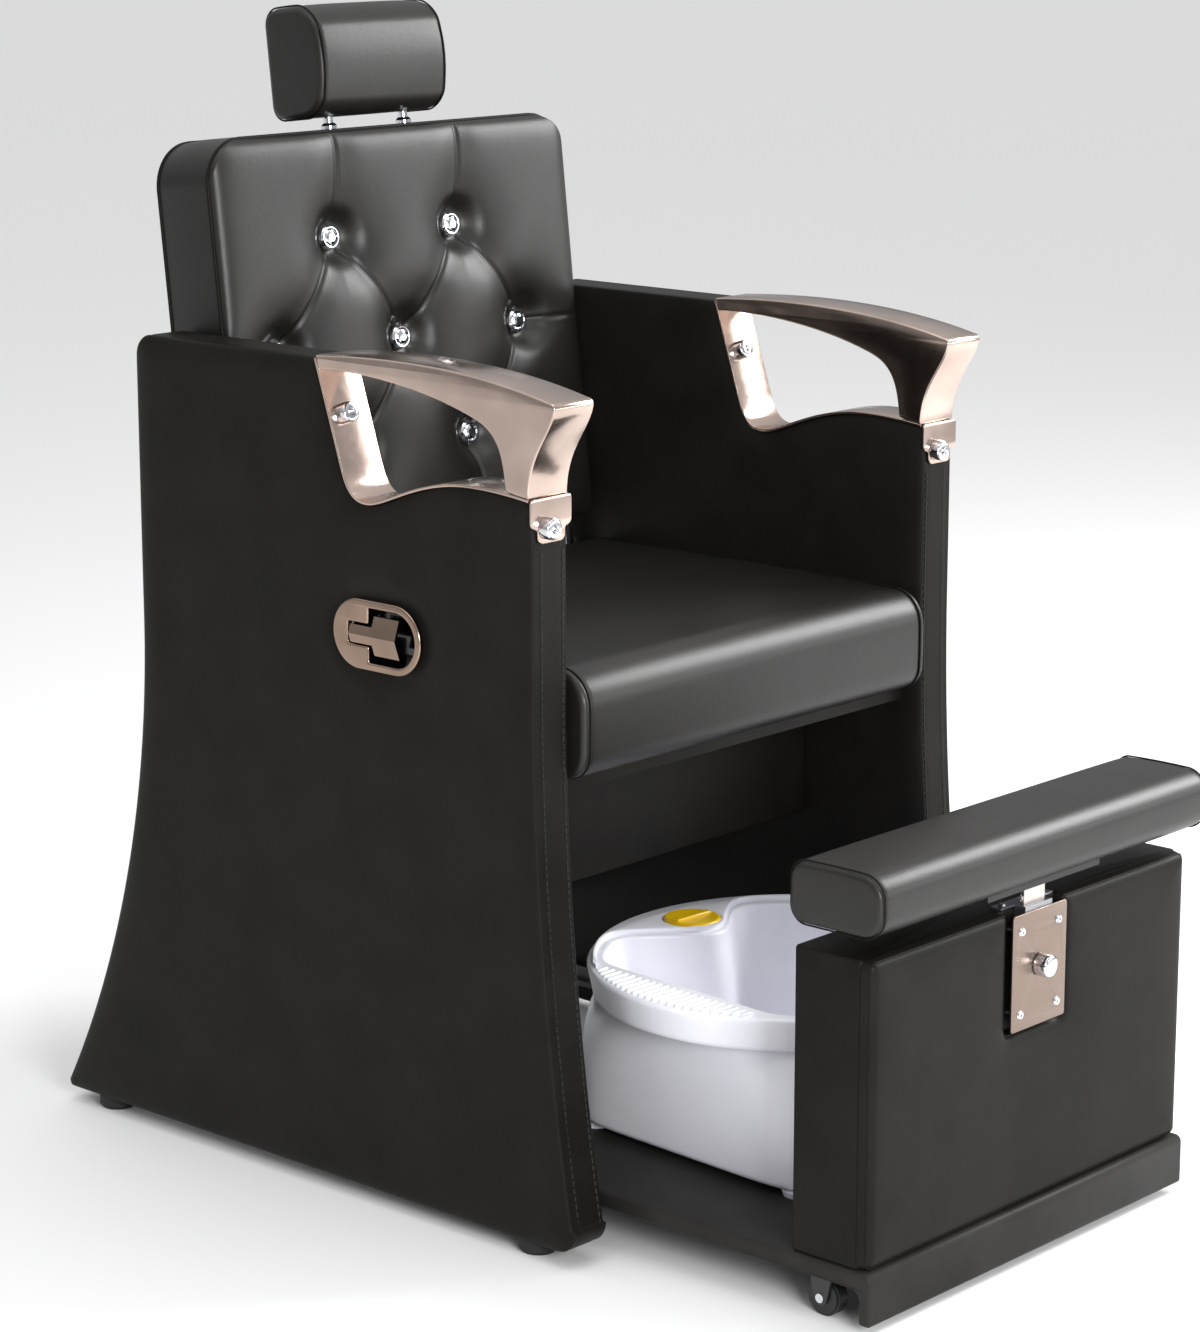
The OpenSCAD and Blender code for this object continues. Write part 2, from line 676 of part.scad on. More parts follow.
plate_x = hinge_x + 9;
bar_t = 6;
bar_w = 30;
bar_top = back_clear + 160;
hinge_plate_r = 22;
module hinge_plates() color(steel) both(0) for (s = [-1, 1]) difference() {
  slab_x(s * plate_x - bar_t / 2, bar_t) {
    translate([hinge_y, hinge_z]) circle(r = hinge_plate_r);
    translate([hinge_y - hinge_plate_r, board_z]) square([2 * hinge_plate_r, hinge_z - board_z]);
  }
  translate([s * plate_x, hinge_y, hinge_z]) bar_x(hinge_d + 2 * run, bar_t + 2);
}
module hinge_pins() color(steel) for (s = [-1, 1]) translate([s * hinge_x, hinge_y, hinge_z]) {
  translate([s * 4, 0, 0]) bar_x(hinge_d, 24);
  translate([-s * (bar_t / 2 + fit + 2), 0, 0]) bar_x(hinge_d + 8, 4);
  translate([s * (bar_t / 2 + fit + 1), 0, 0]) bar_x(hinge_d + 8, 2);
}

cross_s = [22, 20];
cross_w = 20;
strut_up = 24;
eye_y = hinge_y + strut_arm * cos(strut_up);
eye_z = hinge_z + strut_arm * sin(strut_up);
lug_x = 10;
lug_t = 4;
pin_d = 10;
module back_bars() color(steel) {
  on_hinge() for (s = [-1, 1]) difference() {
    slab_x(s * hinge_x - bar_t / 2, bar_t) {
      circle(d = bar_w);
      translate([-bar_w / 2, 0]) square([bar_w, bar_top]);
      translate([0, cross_s[1] - cross_w / 2 + 1]) square([cross_s[0] + cross_w / 2, cross_w - 6]);
    }
    translate([s * hinge_x, 0, 0]) bar_x(hinge_d + 2 * run, bar_t + 2);
  }
  difference() {
    translate([-hinge_x, hinge_y + cross_s[0] - cross_w / 2, hinge_z + cross_s[1] - cross_w / 2])
      cube([2 * hinge_x, cross_w, cross_w]);
    translate([-hinge_x, hinge_y + cross_s[0] - cross_w / 2 + 2, hinge_z + cross_s[1] - cross_w / 2 + 2])
      cube([2 * hinge_x, cross_w - 4, cross_w - 4]);
  }
  for (s = [-1, 1]) slab_x(s * (lug_x + lug_t / 2) - lug_t / 2, lug_t) {
    translate([eye_y, eye_z]) circle(d = cross_w);
    translate([hinge_y + cross_s[0] + cross_w / 2, hinge_z + cross_s[1] - cross_w / 2])
      square([eye_y - hinge_y - cross_s[0] - cross_w / 2, cross_w]);
  }
  translate([0, eye_y, eye_z]) bar_x(pin_d, 2 * (lug_x + lug_t) + 4);
}

core_lo = [-front_reach + pad_edge, back_clear];
core_hi = [core_lo[0] + core_t, back_clear + back_h];
post_v = -6;
sleeve_d = 14;
sleeve_top = 8;
post_depth = head_lift + 80;
sleeve_l = post_depth + 20;
module rounded_plate(w, h, r) {
  for (s = [-1, 1]) translate([s * (w / 2 - r), h - r]) circle(r = r);
  translate([-w / 2 + r, h - 2 * r]) square([w - 2 * r, 2 * r]);
  translate([-w / 2, r / 2]) square([w, h - 1.5 * r]);
  for (s = [-1, 1]) translate([s * (w / 2 - r / 2), r / 2]) circle(r = r / 2);
  translate([-w / 2 + r / 2, 0]) square([w - r, r]);
}
module back_core() color(black) on_hinge() difference() {
  slab_y(core_lo[0], core_t) translate([0, core_lo[1]]) rounded_plate(back_w, back_h, back_corner_r);
  both(hinge_x) block([-bar_t / 2 - fit, -bar_w / 2 - fit, 0],
    [bar_t / 2 + fit, bar_w / 2 + fit, bar_top + fit]);
  both(post_pitch / 2) translate([0, post_v, core_hi[1] - sleeve_l])
    cylinder(d = sleeve_d + 2 * run, h = sleeve_l + 1);
}
collar_d = 17;
module headrest_sleeves() color(bright) on_hinge() both(post_pitch / 2)
  translate([0, post_v, core_hi[1]]) difference() {
    union() {
      translate([0, 0, -sleeve_l]) cylinder(d = sleeve_d, h = sleeve_l + 1);
      cylinder(d = collar_d, h = sleeve_top - 3);
      translate([0, 0, sleeve_top - 3]) cylinder(d1 = collar_d, d2 = collar_d - 5, h = 3);
    }
    translate([0, 0, -sleeve_l + 2]) cylinder(d = post_d + 2 * run, h = sleeve_l + sleeve_top);
  }

// Buttons in rows of two, three and two, as [x, height above the hinge].
buttons = [for (row = [0 : 2], k = [0 : row % 2 == 0 ? 1 : 2])
  [(row % 2 == 0 ? 2 * k - 1 : 2 * (k - 1)) * button_dx, button_s0 + row * button_ds]];
pad_half = back_w / 2 - 1;
pad_s = [back_clear + 4, back_clear + back_h - 4];
pad_mid = (pad_s[0] + pad_s[1]) / 2;
pad_r = [23, back_corner_r];
tuft_floor = button_d / 2;
tuft_reach = 26;
fold_deep = 5;
fold_w = 10;

// Distance from the nearest fold: the folds run in diamonds between the buttons, up and
// down from the outer rows, and sideways from the two buttons at the edges.
function fold(x, s) = let (
    u = abs(x) / button_dx, v = (s - button_s0) / button_ds,
    odd = (floor(u) + floor(v)) % 2, a = u - floor(u), b = v - floor(v),
    slant = abs(odd == 0 ? a + b - 1 : a - b) * button_dx * 0.78)
  v < 0 || v > 2 ? abs(abs(x) - button_dx)
    : u > 2 ? abs(v - 1) * button_ds : slant;

// How far the pad's face stands in front of its seam at one point.
function face(x, s) = let (
    u = abs(x) / pad_half, v = abs(s - pad_mid) * 2 / (pad_s[1] - pad_s[0]),
    rim = sqrt(max(0, 1 - pow(u, 7))) * sqrt(max(0, 1 - pow(v, 7))),
    near = min([for (b = buttons) norm([x - b[0], s - b[1]])]),
    tufted = exp(-pow(max(0, near - tuft_floor) / tuft_reach, 2)),
    folded = exp(-pow(fold(x, s) / fold_w, 2)))
  rim * (pad_crown - fold_deep * folded * (1 - tufted)) - (pad_crown * rim + tuft) * tufted;

// Half the width of the pad at one height, between its rounded corners.
function half_at(s) = let (
    low = pad_s[0] + pad_r[0] - s, high = s - pad_s[1] + pad_r[1])
  low > 0 ? pad_half - pad_r[0] + sqrt(max(0, pad_r[0] * pad_r[0] - low * low))
    : high > 0 ? pad_half - pad_r[1] + sqrt(max(0, pad_r[1] * pad_r[1] - high * high)) : pad_half;

// Heights of the pad's rows: close together round the corners and even between them.
pad_low = [for (a = [90 : -22.5 : 1]) pad_s[0] + pad_r[0] * (1 - sin(a))];
pad_high = [for (a = [15 : 15 : 90]) pad_s[1] - pad_r[1] * (1 - sin(a))];
pad_even = [pad_s[0] + pad_r[0], pad_s[1] - pad_r[1]];
pad_rows = concat(pad_low, [for (i = [0 : 20]) pad_even[0] + (pad_even[1] - pad_even[0]) * i / 20], pad_high);
pad_nx = 34;
module back_cushion() color(black) on_hinge() difference() {
  rear = -front_reach + pad_edge;
  edge = -front_reach;
  ns = len(pad_rows) - 1;
  grid = [for (s = pad_rows, i = [0 : pad_nx]) [(2 * i / pad_nx - 1) * half_at(s), s]];
  w = pad_nx + 1;
  n = len(grid);
  loop = concat([for (i = [0 : pad_nx - 1]) i], [for (j = [0 : ns - 1]) j * w + pad_nx],
    [for (i = [pad_nx : -1 : 1]) ns * w + i], [for (j = [ns : -1 : 1]) j * w]);
  m = len(loop);
  cells = [for (j = [0 : ns - 1], i = [0 : pad_nx - 1]) let (
      a = j * w + i, c = (grid[a] + grid[a + w + 1]) / 2,
      u = floor(c[0] / button_dx) + floor((c[1] - button_s0) / button_ds))
    each u % 2 == 0 ? [[a, a + w, a + 1], [a + 1, a + w, a + w + 1]]
      : [[a, a + w, a + w + 1], [a, a + w + 1, a + 1]]];
  points = concat([for (p = grid) [p[0], edge - face(p[0], p[1]), p[1]]],
    [for (k = loop) [grid[k][0], rear, grid[k][1]]], [[0, rear, pad_mid]]);
  sides = [for (k = [0 : m - 1]) let (l = (k + 1) % m)
    each [[loop[k], loop[l], n + l], [loop[k], n + l, n + k], [n + k, n + l, n + m]]];
  polyhedron(points, concat(cells, sides));
  for (b = buttons) translate([b[0], edge + tuft, b[1]]) rotate([90, 0, 0])
    cylinder(d = button_d + 1, h = tuft + pad_crown + 1);
}

// A button sits on the floor of its tuft.
button_rise = 3;
module at_buttons() on_hinge() for (b = buttons)
  translate([b[0], -front_reach + tuft, b[1]]) rotate([90, 0, 0]) children();
module button_rims() color(bright) at_buttons() difference() {
  union() {
    cylinder(d = button_d, h = button_rise);
    translate([0, 0, button_rise]) cylinder(d1 = button_d, d2 = button_d - 4, h = 2);
  }
  translate([0, 0, button_rise - 1]) cylinder(d = button_d - 6, h = 4);
}
module button_crystals() color("#e8edf2") at_buttons() translate([0, 0, button_rise - 1]) {
  cylinder(d = button_d - 6 - 2 * run, h = 2);
  translate([0, 0, 2]) cylinder(d1 = button_d - 7, d2 = button_d - 14, h = 3);
}

head_lo = [-33, core_hi[1] + head_gap];
head_swell = 12;
module headrest_cushion() color(black) on_hinge() difference() {
  ends = [[1, 18], [0.985, 4], [0.96, 0.5], [0.9, 0], [0.45, 0]];
  stations = concat([for (s = ends) [-s[0], s[1]]], [[0, 0]],
    [for (i = [len(ends) - 1 : -1 : 0]) ends[i]]);
  hi = head_lo + [head_t, head_h];
  loft([for (s = stations) let (a = head_lo + [s[1], s[1]], b = hi - [s[1], s[1]],
      ring = swell(box_ring(a, b, shrink([22, 24, 18, 16], s[1]), 5, 4), a, b, head_swell, 2))
    [for (p = ring) [s[0] * head_w / 2, p[0], p[1]]]]);
  both(post_pitch / 2) translate([0, post_v, head_lo[1] - 10]) cylinder(d = post_d + 2 * run, h = 70);
}
module headrest_posts() color(bright) on_hinge() both(post_pitch / 2)
  translate([0, post_v, core_hi[1] - post_depth]) cylinder(d = post_d, h = post_depth + head_gap + 58);

// ---------------------------------------------------------------- gas strut

foot_y = eye_y + 1.5;
head_block = [24, 24, 40];
cheek_t = 5;
stroke = strut_arm * (sin(strut_up) + sin(recline - strut_up));
rod_in = stroke + 75;
cylinder_top = eye_z - 27;
eye_d = pin_d + 4;
eye_wall = 3;
module strut_bracket() color(steel) {
  block([-lug_x - 8 - cheek_t, stretcher_y, stretcher_top],
    [lug_x + 8 + cheek_t, stretcher_y + apron_t, stretcher_top + 4]);
  for (s = [-1, 1]) difference() {
    slab_x(s * (head_block[0] / 2 + cheek_t / 2 + fit) - cheek_t / 2, cheek_t) {
      translate([foot_y, strut_foot_z]) circle(d = apron_t);
      translate([foot_y - apron_t / 2, stretcher_top + 2]) square([apron_t, strut_foot_z - stretcher_top - 2]);
    }
    translate([0, foot_y, strut_foot_z]) bar_x(8, 60);
  }
  translate([0, foot_y, strut_foot_z]) bar_x(8, head_block[0] + 4 * cheek_t);
}
module release_head() color(dark) difference() {
  translate([-head_block[0] / 2, foot_y - head_block[1] / 2, strut_foot_z - 12]) cube(head_block);
  translate([0, foot_y, strut_foot_z]) bar_x(8 + 2 * run, 40);
  translate([0, foot_y, strut_foot_z + 10]) cylinder(d = rod_d + 2 * run, h = 30);
}
module strut_rod() color(bright) translate([0, foot_y, strut_foot_z + 10])
  cylinder(d = rod_d, h = cylinder_top - strut_l - strut_foot_z - 10 + rod_in);
module strut_cylinder() color(dark) difference() {
  union() {
    translate([0, foot_y, cylinder_top - strut_l]) cylinder(d = strut_d, h = strut_l);
    translate([0, foot_y, cylinder_top]) cylinder(d = 14, h = 6);
    slab_x(-lug_x + 2, 2 * lug_x - 4) {
      translate([foot_y, eye_z]) circle(d = eye_d + 2 * eye_wall);
      translate([foot_y - 8, cylinder_top + 5]) square([16, eye_z - cylinder_top - 12]);
    }
  }
  translate([0, foot_y, cylinder_top - strut_l - 1]) cylinder(d = rod_d + 2 * run, h = strut_l - 8);
  translate([0, foot_y, eye_z]) bar_x(eye_d, 40);
}

// ---------------------------------------------------------------- footrest tray

tray_half = inner - tray_gap;
box_half = tray_half - 3;
box_y0 = -tray_front + 4 + box_pad_t;
socket_w = flat_w + 10;
post_y = -tray_front + 10;
lock_t = 2.5;
lock_y = -tray_front - lock_proud;
socket_wall = 2.5;
socket_h = lock_h + 3;

module tray_deck() color(dark)
  block([-tray_half, -tray_front + skirt_t - 2, deck_z - deck_t], [tray_half, deck_l - tray_front, deck_z]);
module tray_skirt() color(dark) slab_x(-tray_half, 2 * tray_half) {
  translate([-tray_front - 2, skirt_z]) square([skirt_t, deck_z - skirt_z]);
  difference() {
    translate([-tray_front + skirt_t - 2, deck_z - deck_t - 10]) square(10);
    translate([-tray_front + skirt_t + 8, deck_z - deck_t - 10]) circle(r = 10);
  }
}
socket_y = [lock_y + lock_t, post_y + flat_t / 2 + fit + socket_wall];
module socket_body(top) block([-socket_w / 2, socket_y[0], box_top - socket_h], [socket_w / 2, socket_y[1], top]);
module footrest_box() color(black) difference() {
  block([-box_half, box_y0, deck_z], [box_half, box_y0 + box_d, box_top]);
  block([-box_half + 15, box_y0 + 15, deck_z + 15], [box_half - 15, box_y0 + box_d - 15, box_top - 20]);
  socket_body(box_top + 1);
  at_ears() translate([0, 0, -13]) cylinder(d = small_d + 2 * run, h = 20);
}
notch_w = lock_w + 2;
notch_z = box_top - socket_h - 2;
module footrest_front() color(black) difference() {
  inset = [[0, 0], [box_pad_t - 2, 0], [box_pad_t, 3], [box_pad_t + 2.4, 12], [box_pad_t + 3.4, 40]];
  loft([for (s = inset) let (ring = box_ring([-box_half + s[1], deck_z + s[1]], [box_half - s[1], box_top - s[1]],
      [9, 9, 9, 9], 4, 2)) [for (p = ring) [p[0], box_y0 - s[0], p[1]]]]);
  block([-notch_w / 2, box_y0 - 30, notch_z], [notch_w / 2, box_y0 + 1, box_top + 1]);
}
ear_w = 20;
ear_t = 2;
module at_ears() both(socket_w / 2 + ear_w / 2) translate([0, box_y0 + 6, box_top + ear_t]) children();
module post_socket() color(steel) difference() {
  union() {
    socket_body(box_top);
    block([-socket_w / 2 - ear_w, box_y0, box_top], [socket_w / 2 + ear_w, box_y0 + 12, box_top + ear_t]);
    block([-socket_w / 2, socket_y[0], box_top], [socket_w / 2, box_y0 + 12, box_top + ear_t]);
  }
  block([-flat_w / 2 - fit, post_y - flat_t / 2 - fit, box_top - socket_h - 1],
    [flat_w / 2 + fit, post_y + flat_t / 2 + fit, box_top + ear_t + 1]);
  translate([0, post_y - 10, lock_z]) bar_y(screw_d + 2 * run, 30);
  at_ears() cylinder(d = small_d + 2 * run, h = 10, center = true);
}
lock_z = box_top - rest_lift - 8;
screw_d = 8;
screw_dx = 29.5;
screw_dz = 41;
small_d = 4;
module at_screws() for (s = [-1, 1], k = [-1, 1]) translate([s * screw_dx, lock_y, lock_z - 3 + k * screw_dz])
  rotate([90, 0, 0]) children();
module lock_plate() color(rose) difference() {
  slab_y(lock_y, lock_t) translate([-lock_w / 2, box_top - lock_h - 3]) square([lock_w, lock_h]);
  at_screws() translate([0, 0, -lock_t - 1]) cylinder(d = small_d + 2 * run, h = lock_t + 2);
  translate([0, lock_y, lock_z]) bar_y(screw_d + 2 * run, 20);
}
module plate_screws() color(bright) {
  at_ears() {
    translate([0, 0, -12]) cylinder(d = small_d, h = 12);
    cylinder(d1 = 8, d2 = 6, h = 2);
  }
  at_screws() {
    translate([0, 0, -16]) cylinder(d = small_d, h = 16);
    difference() {
      cylinder(d1 = 9, d2 = 7, h = 1.6);
      translate([0, 0, 0.8]) cylinder(d = 3.5, h = 2, $fn = 6);
    }
  }
}
runner_l = 60;
module tray_runners() color(white) for (s = [-1, 1]) {
  x0 = s > 0 ? tray_half : -inner + rail_t - groove_d + 0.5;
  x1 = s > 0 ? inner - rail_t + groove_d - 0.5 : -tray_half;
  block([x0, runner_end - runner_l, rail_z - groove_h / 2 + fit], [x1, runner_end, rail_z + groove_h / 2 - fit]);
}

fork_t = 2.5;
axle_d = 6;
caster_x = tray_half - 22;
caster_y = [-tray_front + 64, deck_l - tray_front - 50];
fork_w = 26;
deck_low = deck_z - deck_t;
module at_casters() both(caster_x) for (y = caster_y) translate([0, y, wheel_d / 2]) children();
module caster_forks() color(steel) at_casters() {
  both(wheel_w / 2 + 1 + fork_t / 2) difference() {
    slab_x(-fork_t / 2, fork_t) {
      circle(d = 15);
      polygon([[-7.5, 0], [7.5, 0], [fork_w / 2, deck_low - wheel_d / 2], [-fork_w / 2, deck_low - wheel_d / 2]]);
    }
    bar_x(axle_d + 2 * run, 10);
  }
  block([-wheel_w / 2 - 1 - fork_t, -fork_w / 2, deck_low - wheel_d / 2 - fork_t],
    [wheel_w / 2 + 1 + fork_t, fork_w / 2, deck_low - wheel_d / 2]);
}
module caster_axles() color(bright) at_casters() {
  bar_x(axle_d, wheel_w + 2 + 2 * fork_t + 2);
  both(wheel_w / 2 + 1 + fork_t + 1) bar_x(9, 1.6);
}
module caster_wheel(x, y) color(dark) translate([x, y, wheel_d / 2]) difference() {
  union() {
    bar_x(wheel_d, wheel_w - 4);
    bar_x(wheel_d - 5, wheel_w);
  }
  bar_x(axle_d + 2 * run, wheel_w + 2);
}
module caster_wheel_front_left() caster_wheel(-caster_x, caster_y[0]);
module caster_wheel_front_right() caster_wheel(caster_x, caster_y[0]);
module caster_wheel_rear_left() caster_wheel(-caster_x, caster_y[1]);
module caster_wheel_rear_right() caster_wheel(caster_x, caster_y[1]);

// ---------------------------------------------------------------- footrest pad

rest_z = box_top + rest_gap;
rest_half = box_half + rest_over;
rest_front = -tray_front - 12;
bracket_t = 5;
bracket_w = 180;
post_l = rest_gap + socket_h - 2;
module lock_knob() color(bright) translate([0, lock_y, lock_z]) {
  translate([0, -knob_l / 2 - fit, 0]) bar_y(knob_d, knob_l);
  translate([0, -knob_l - fit, 0]) rotate([90, 0, 0]) cylinder(d1 = knob_d - 2, d2 = knob_d - 6, h = knob_cap);
  tip = post_y - flat_t / 2 - fit;
  translate([0, (tip - lock_y - fit) / 2, 0]) bar_y(screw_d, tip - lock_y + fit);
}
module footrest_pad() color(black) {
  lo = [rest_front, rest_z];
  hi = lo + [rest_d, rest_h];
  ends = [[1, 14], [0.994, 3], [0.982, 0], [0.5, 0]];
  stations = concat([for (s = ends) [-s[0], s[1]]], [[0, 0]], [for (i = [len(ends) - 1 : -1 : 0]) ends[i]]);
  difference() {
    loft([for (s = stations) let (a = lo + [s[1], s[1]], b = hi - [s[1], s[1]],
        ring = swell(box_ring(a, b, shrink([22, 20, 16, 18], s[1]), 6, 4), a, b, 3, 2))
      [for (p = ring) [s[0] * rest_half, p[0], p[1]]]]);
    bracket_plate(bracket_t);
  }
}
module bracket_plate(t) block([-bracket_w / 2, post_y - 14, rest_z - 1], [bracket_w / 2, post_y + 50, rest_z + t]);
module pad_bracket() color(rose) {
  bracket_plate(bracket_t);
  block([-flat_w / 2, post_y - flat_t / 2, rest_z - post_l], [flat_w / 2, post_y + flat_t / 2, rest_z]);
}

// ---------------------------------------------------------------- basin

foot_h = 6;
plate_h = 4;
basin_z = deck_z + foot_h;
rim_z = deck_z + basin_h;
shell_n = 64;
shell_top = rim_z - plate_h;
waist_d = basin_d - 2 * waist_in;
waist_z = rim_z - rim_h;
module in_basin() translate([basin_x, -basin_y, 0]) rotate(-basin_turn) children();

// Rings of the shell: a rounded box at its foot, nearly an oval at its waist under the
// rim's skirt, and an oval that spreads to the rim inside the skirt.
function shell_ring(z, inset) = let (
    t = min(1, (z - basin_z) / (waist_z - basin_z)), u = max(0, (z - waist_z) / (shell_top - waist_z)),
    a = (foot_w + t * (waist_w - foot_w) + u * (basin_w - 2 * shell_in - waist_w)) / 2,
    b = (foot_d + t * (waist_d - foot_d) + u * (basin_d - 2 * shell_in - waist_d)) / 2)
  [for (p = oval(a - inset, b - inset, foot_power + t * (waist_power - foot_power) - 0.48 * u, shell_n))
    [p[0], p[1], z]];
function shell_levels(low, high) = concat(
  [for (k = [0 : 4]) low + (waist_z - low) * k / 4], [(waist_z + high) / 2, high]);
shell_in = 7;
foot_power = 8;
waist_power = 2.5;
module basin_shell() color(white) in_basin() difference() {
  loft([for (z = shell_levels(basin_z, shell_top)) shell_ring(z, 0)]);
  loft([for (z = shell_levels(basin_z + wall, shell_top + 1)) shell_ring(z, wall)]);
}

well_z = basin_z + 16;
dial_c = [dial_x, basin_d / 2 - dial_in];
at_dial = [dial_c[0], dial_c[1], 0];
module rim_oval(inset) polygon(oval(basin_w / 2 - inset, basin_d / 2 - inset, 2, 96));
// The housing's round end, with sides that spread towards the rear rim.
module lobe_outline(inset) {
  side = basin_d / 2 * [sin(lobe_spread), cos(lobe_spread)];
  round_end = arc(dial_c, lobe_w / 2 - inset, 180 + lobe_spread, 360 - lobe_spread, 16);
  polygon(concat(round_end, [round_end[16] + side, round_end[0] + [-side[0], side[1]]]));
}
well_r = 28;
module well_outline(grow) offset(r = well_r + grow) offset(delta = -well_r) difference() {
  intersection() {
    rim_oval(rim_w);
    square([2 * ledge_x, 2 * basin_d], center = true);
  }
  lobe_outline(0);
}
rib_h = 1.5;
ledge_in = 12;
module ledge_ribs() intersection() {
  linear_extrude(rib_h) difference() {
    rim_oval(0);
    square([2 * (ledge_x + ledge_in), 2 * basin_d], center = true);
  }
  for (y = [rib_pitch / 2 : rib_pitch : basin_d / 2], k = [-1, 1])
    translate([-basin_w / 2, k * y - rib_pitch / 4, -1]) cube([basin_w, rib_pitch / 2, rib_h + 2]);
}
shaft_d = 6;
dial_h = 4.5;
dial_sunk = 4;
well_draft = 0.22;
function well_scale(z) = 1 - well_draft * (rim_z - z) / (rim_z - well_z);
module well(z0, z1, grow) translate([0, 0, z0]) linear_extrude(z1 - z0, scale = well_scale(z1) / well_scale(z0))
  scale(well_scale(z0)) well_outline(grow);
module rim_skirt(inset, over) translate([0, 0, waist_z - over])
  linear_extrude(rim_h - plate_h + 2 * over, scale = basin_w / (basin_w - 2 * rim_draft))
  scale((basin_w - 2 * rim_draft) / basin_w) rim_oval(inset);
module basin_tub() color(white) in_basin() difference() {
  union() {
    translate([0, 0, shell_top]) linear_extrude(plate_h) rim_oval(0);
    difference() {
      rim_skirt(0, 0);
      rim_skirt(wall, 1);
    }
    well(well_z - wall, rim_z - 1, wall);
    translate([0, 0, rim_z - 2]) linear_extrude(lobe_rise + 2) intersection() {
      lobe_outline(-4);
      rim_oval(5);
    }
    translate([0, 0, rim_z - e]) ledge_ribs();
  }
  well(well_z, rim_z + lobe_rise + 1, 0);
  translate(at_dial) translate([0, 0, rim_z + lobe_rise - dial_sunk]) cylinder(d = dial_d + 1, h = 10);
  translate(at_dial) translate([0, 0, rim_z - 20]) cylinder(d = shaft_d + 2 * run, h = 40);
}
foot_in = 24;
module basin_feet() color("#d8d8de") in_basin() for (s = [-1, 1], k = [-1, 1])
  translate([s * (foot_w / 2 - foot_in), k * (foot_d / 2 - foot_in), deck_z]) cylinder(d1 = 34, d2 = 38, h = foot_h);
heater_d = [120, 180];
heater_t = 4;
heater_y = -40;
module basin_heater() color(steel) in_basin() translate([0, heater_y, well_z - wall - heater_t])
  difference() {
    cylinder(d = heater_d[1], h = heater_t);
    translate([0, 0, -1]) cylinder(d = heater_d[0], h = heater_t + 2);
  }
motor_y = 132;
motor_d = 40;
motor_h = 62;
module basin_motor() color(steel) in_basin() translate([dial_x, motor_y, basin_z + wall])
  cylinder(d = motor_d, h = motor_h);
switch_h = 24;
module dial_switch() color(dark) in_basin() translate(at_dial) translate([0, 0, shell_top - switch_h]) difference() {
  cylinder(d = 34, h = switch_h);
  translate([0, 0, 6]) cylinder(d = shaft_d + 2 * run, h = switch_h);
}
grip_w = 9;
grip_h = 4;
module basin_dial() color(yellow) in_basin() translate(at_dial)
  translate([0, 0, rim_z + lobe_rise - dial_sunk + fit]) {
    cylinder(d = dial_d, h = dial_h);
    translate([0, 0, dial_h]) cylinder(d1 = dial_d, d2 = dial_d - 4, h = 1.5);
    translate([-dial_d / 2 + 6, -grip_w / 2, dial_h]) cube([dial_d - 12, grip_w, grip_h]);
    translate([0, 0, -20]) cylinder(d = shaft_d, h = 21);
  }

settle() {
  side_frames();
  side_cover_left();
  side_cover_right();
  arm_straps();
  armrest_left();
  armrest_right();
  arm_bolts();
  glide_feet();
  lever_plate();
  lever_cup();
  lever_pin();
  recline_lever();
  release_cable();
  seat_cushion();
  seat_board();
  seat_bearers();
  apron();
  rear_stretcher();
  hinge_plates();
  hinge_pins();
  strut_bracket();
  tray_rails();
  back_cushion();
  back_core();
  back_bars();
  button_rims();
  button_crystals();
  headrest_sleeves();
  headrest_cushion();
  headrest_posts();
  strut_rod();
  release_head();
  strut_cylinder();
  tray_deck();
  tray_skirt();
  footrest_box();
  footrest_front();
  post_socket();
  lock_plate();
  plate_screws();
  tray_runners();
  caster_forks();
  caster_axles();
  caster_wheel_front_left();
  caster_wheel_front_right();
  caster_wheel_rear_left();
  caster_wheel_rear_right();
  lock_knob();
  footrest_pad();
  pad_bracket();
  basin_shell();
  basin_tub();
  basin_feet();
  basin_heater();
  basin_motor();
  dial_switch();
  basin_dial();
}
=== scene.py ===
"""Dresses a pedicure spa chair: upholstery, chromed arms, lever, foot basin, floor, light and camera.

Pieces are drawn in millimetres, with y = 0 at the front edge of the side panels and z = 0 on the
floor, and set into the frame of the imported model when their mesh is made.
"""
import json
import math

import bmesh
import bpy
import numpy as np
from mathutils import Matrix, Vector
from mathutils.geometry import delaunay_2d_cdt, tessellate_polygon


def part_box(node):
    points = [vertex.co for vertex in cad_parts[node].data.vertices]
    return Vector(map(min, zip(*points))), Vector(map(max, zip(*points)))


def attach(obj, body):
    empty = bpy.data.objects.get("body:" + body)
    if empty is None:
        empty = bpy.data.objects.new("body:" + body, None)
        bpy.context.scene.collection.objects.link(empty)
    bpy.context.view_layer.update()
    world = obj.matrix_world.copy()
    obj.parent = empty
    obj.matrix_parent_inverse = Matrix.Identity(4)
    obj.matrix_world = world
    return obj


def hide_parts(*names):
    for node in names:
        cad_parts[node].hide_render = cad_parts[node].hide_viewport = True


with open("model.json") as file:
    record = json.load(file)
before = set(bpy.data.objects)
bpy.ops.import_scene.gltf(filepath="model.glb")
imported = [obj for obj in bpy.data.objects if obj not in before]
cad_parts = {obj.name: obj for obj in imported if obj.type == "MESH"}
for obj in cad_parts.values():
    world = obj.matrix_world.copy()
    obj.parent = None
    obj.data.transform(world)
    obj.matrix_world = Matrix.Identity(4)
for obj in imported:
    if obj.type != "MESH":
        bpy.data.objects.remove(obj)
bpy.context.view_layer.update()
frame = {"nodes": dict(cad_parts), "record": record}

bl_info = {
    "name": "Pedicure Spa Chair",
    "version": (1, 0, 0),
    "blender": (4, 5, 0),
    "location": "3D View > Sidebar > Spa Chair",
    "description": "Upholstery, chrome, basin and studio for a pedicure spa chair",
    "category": "Object",
}

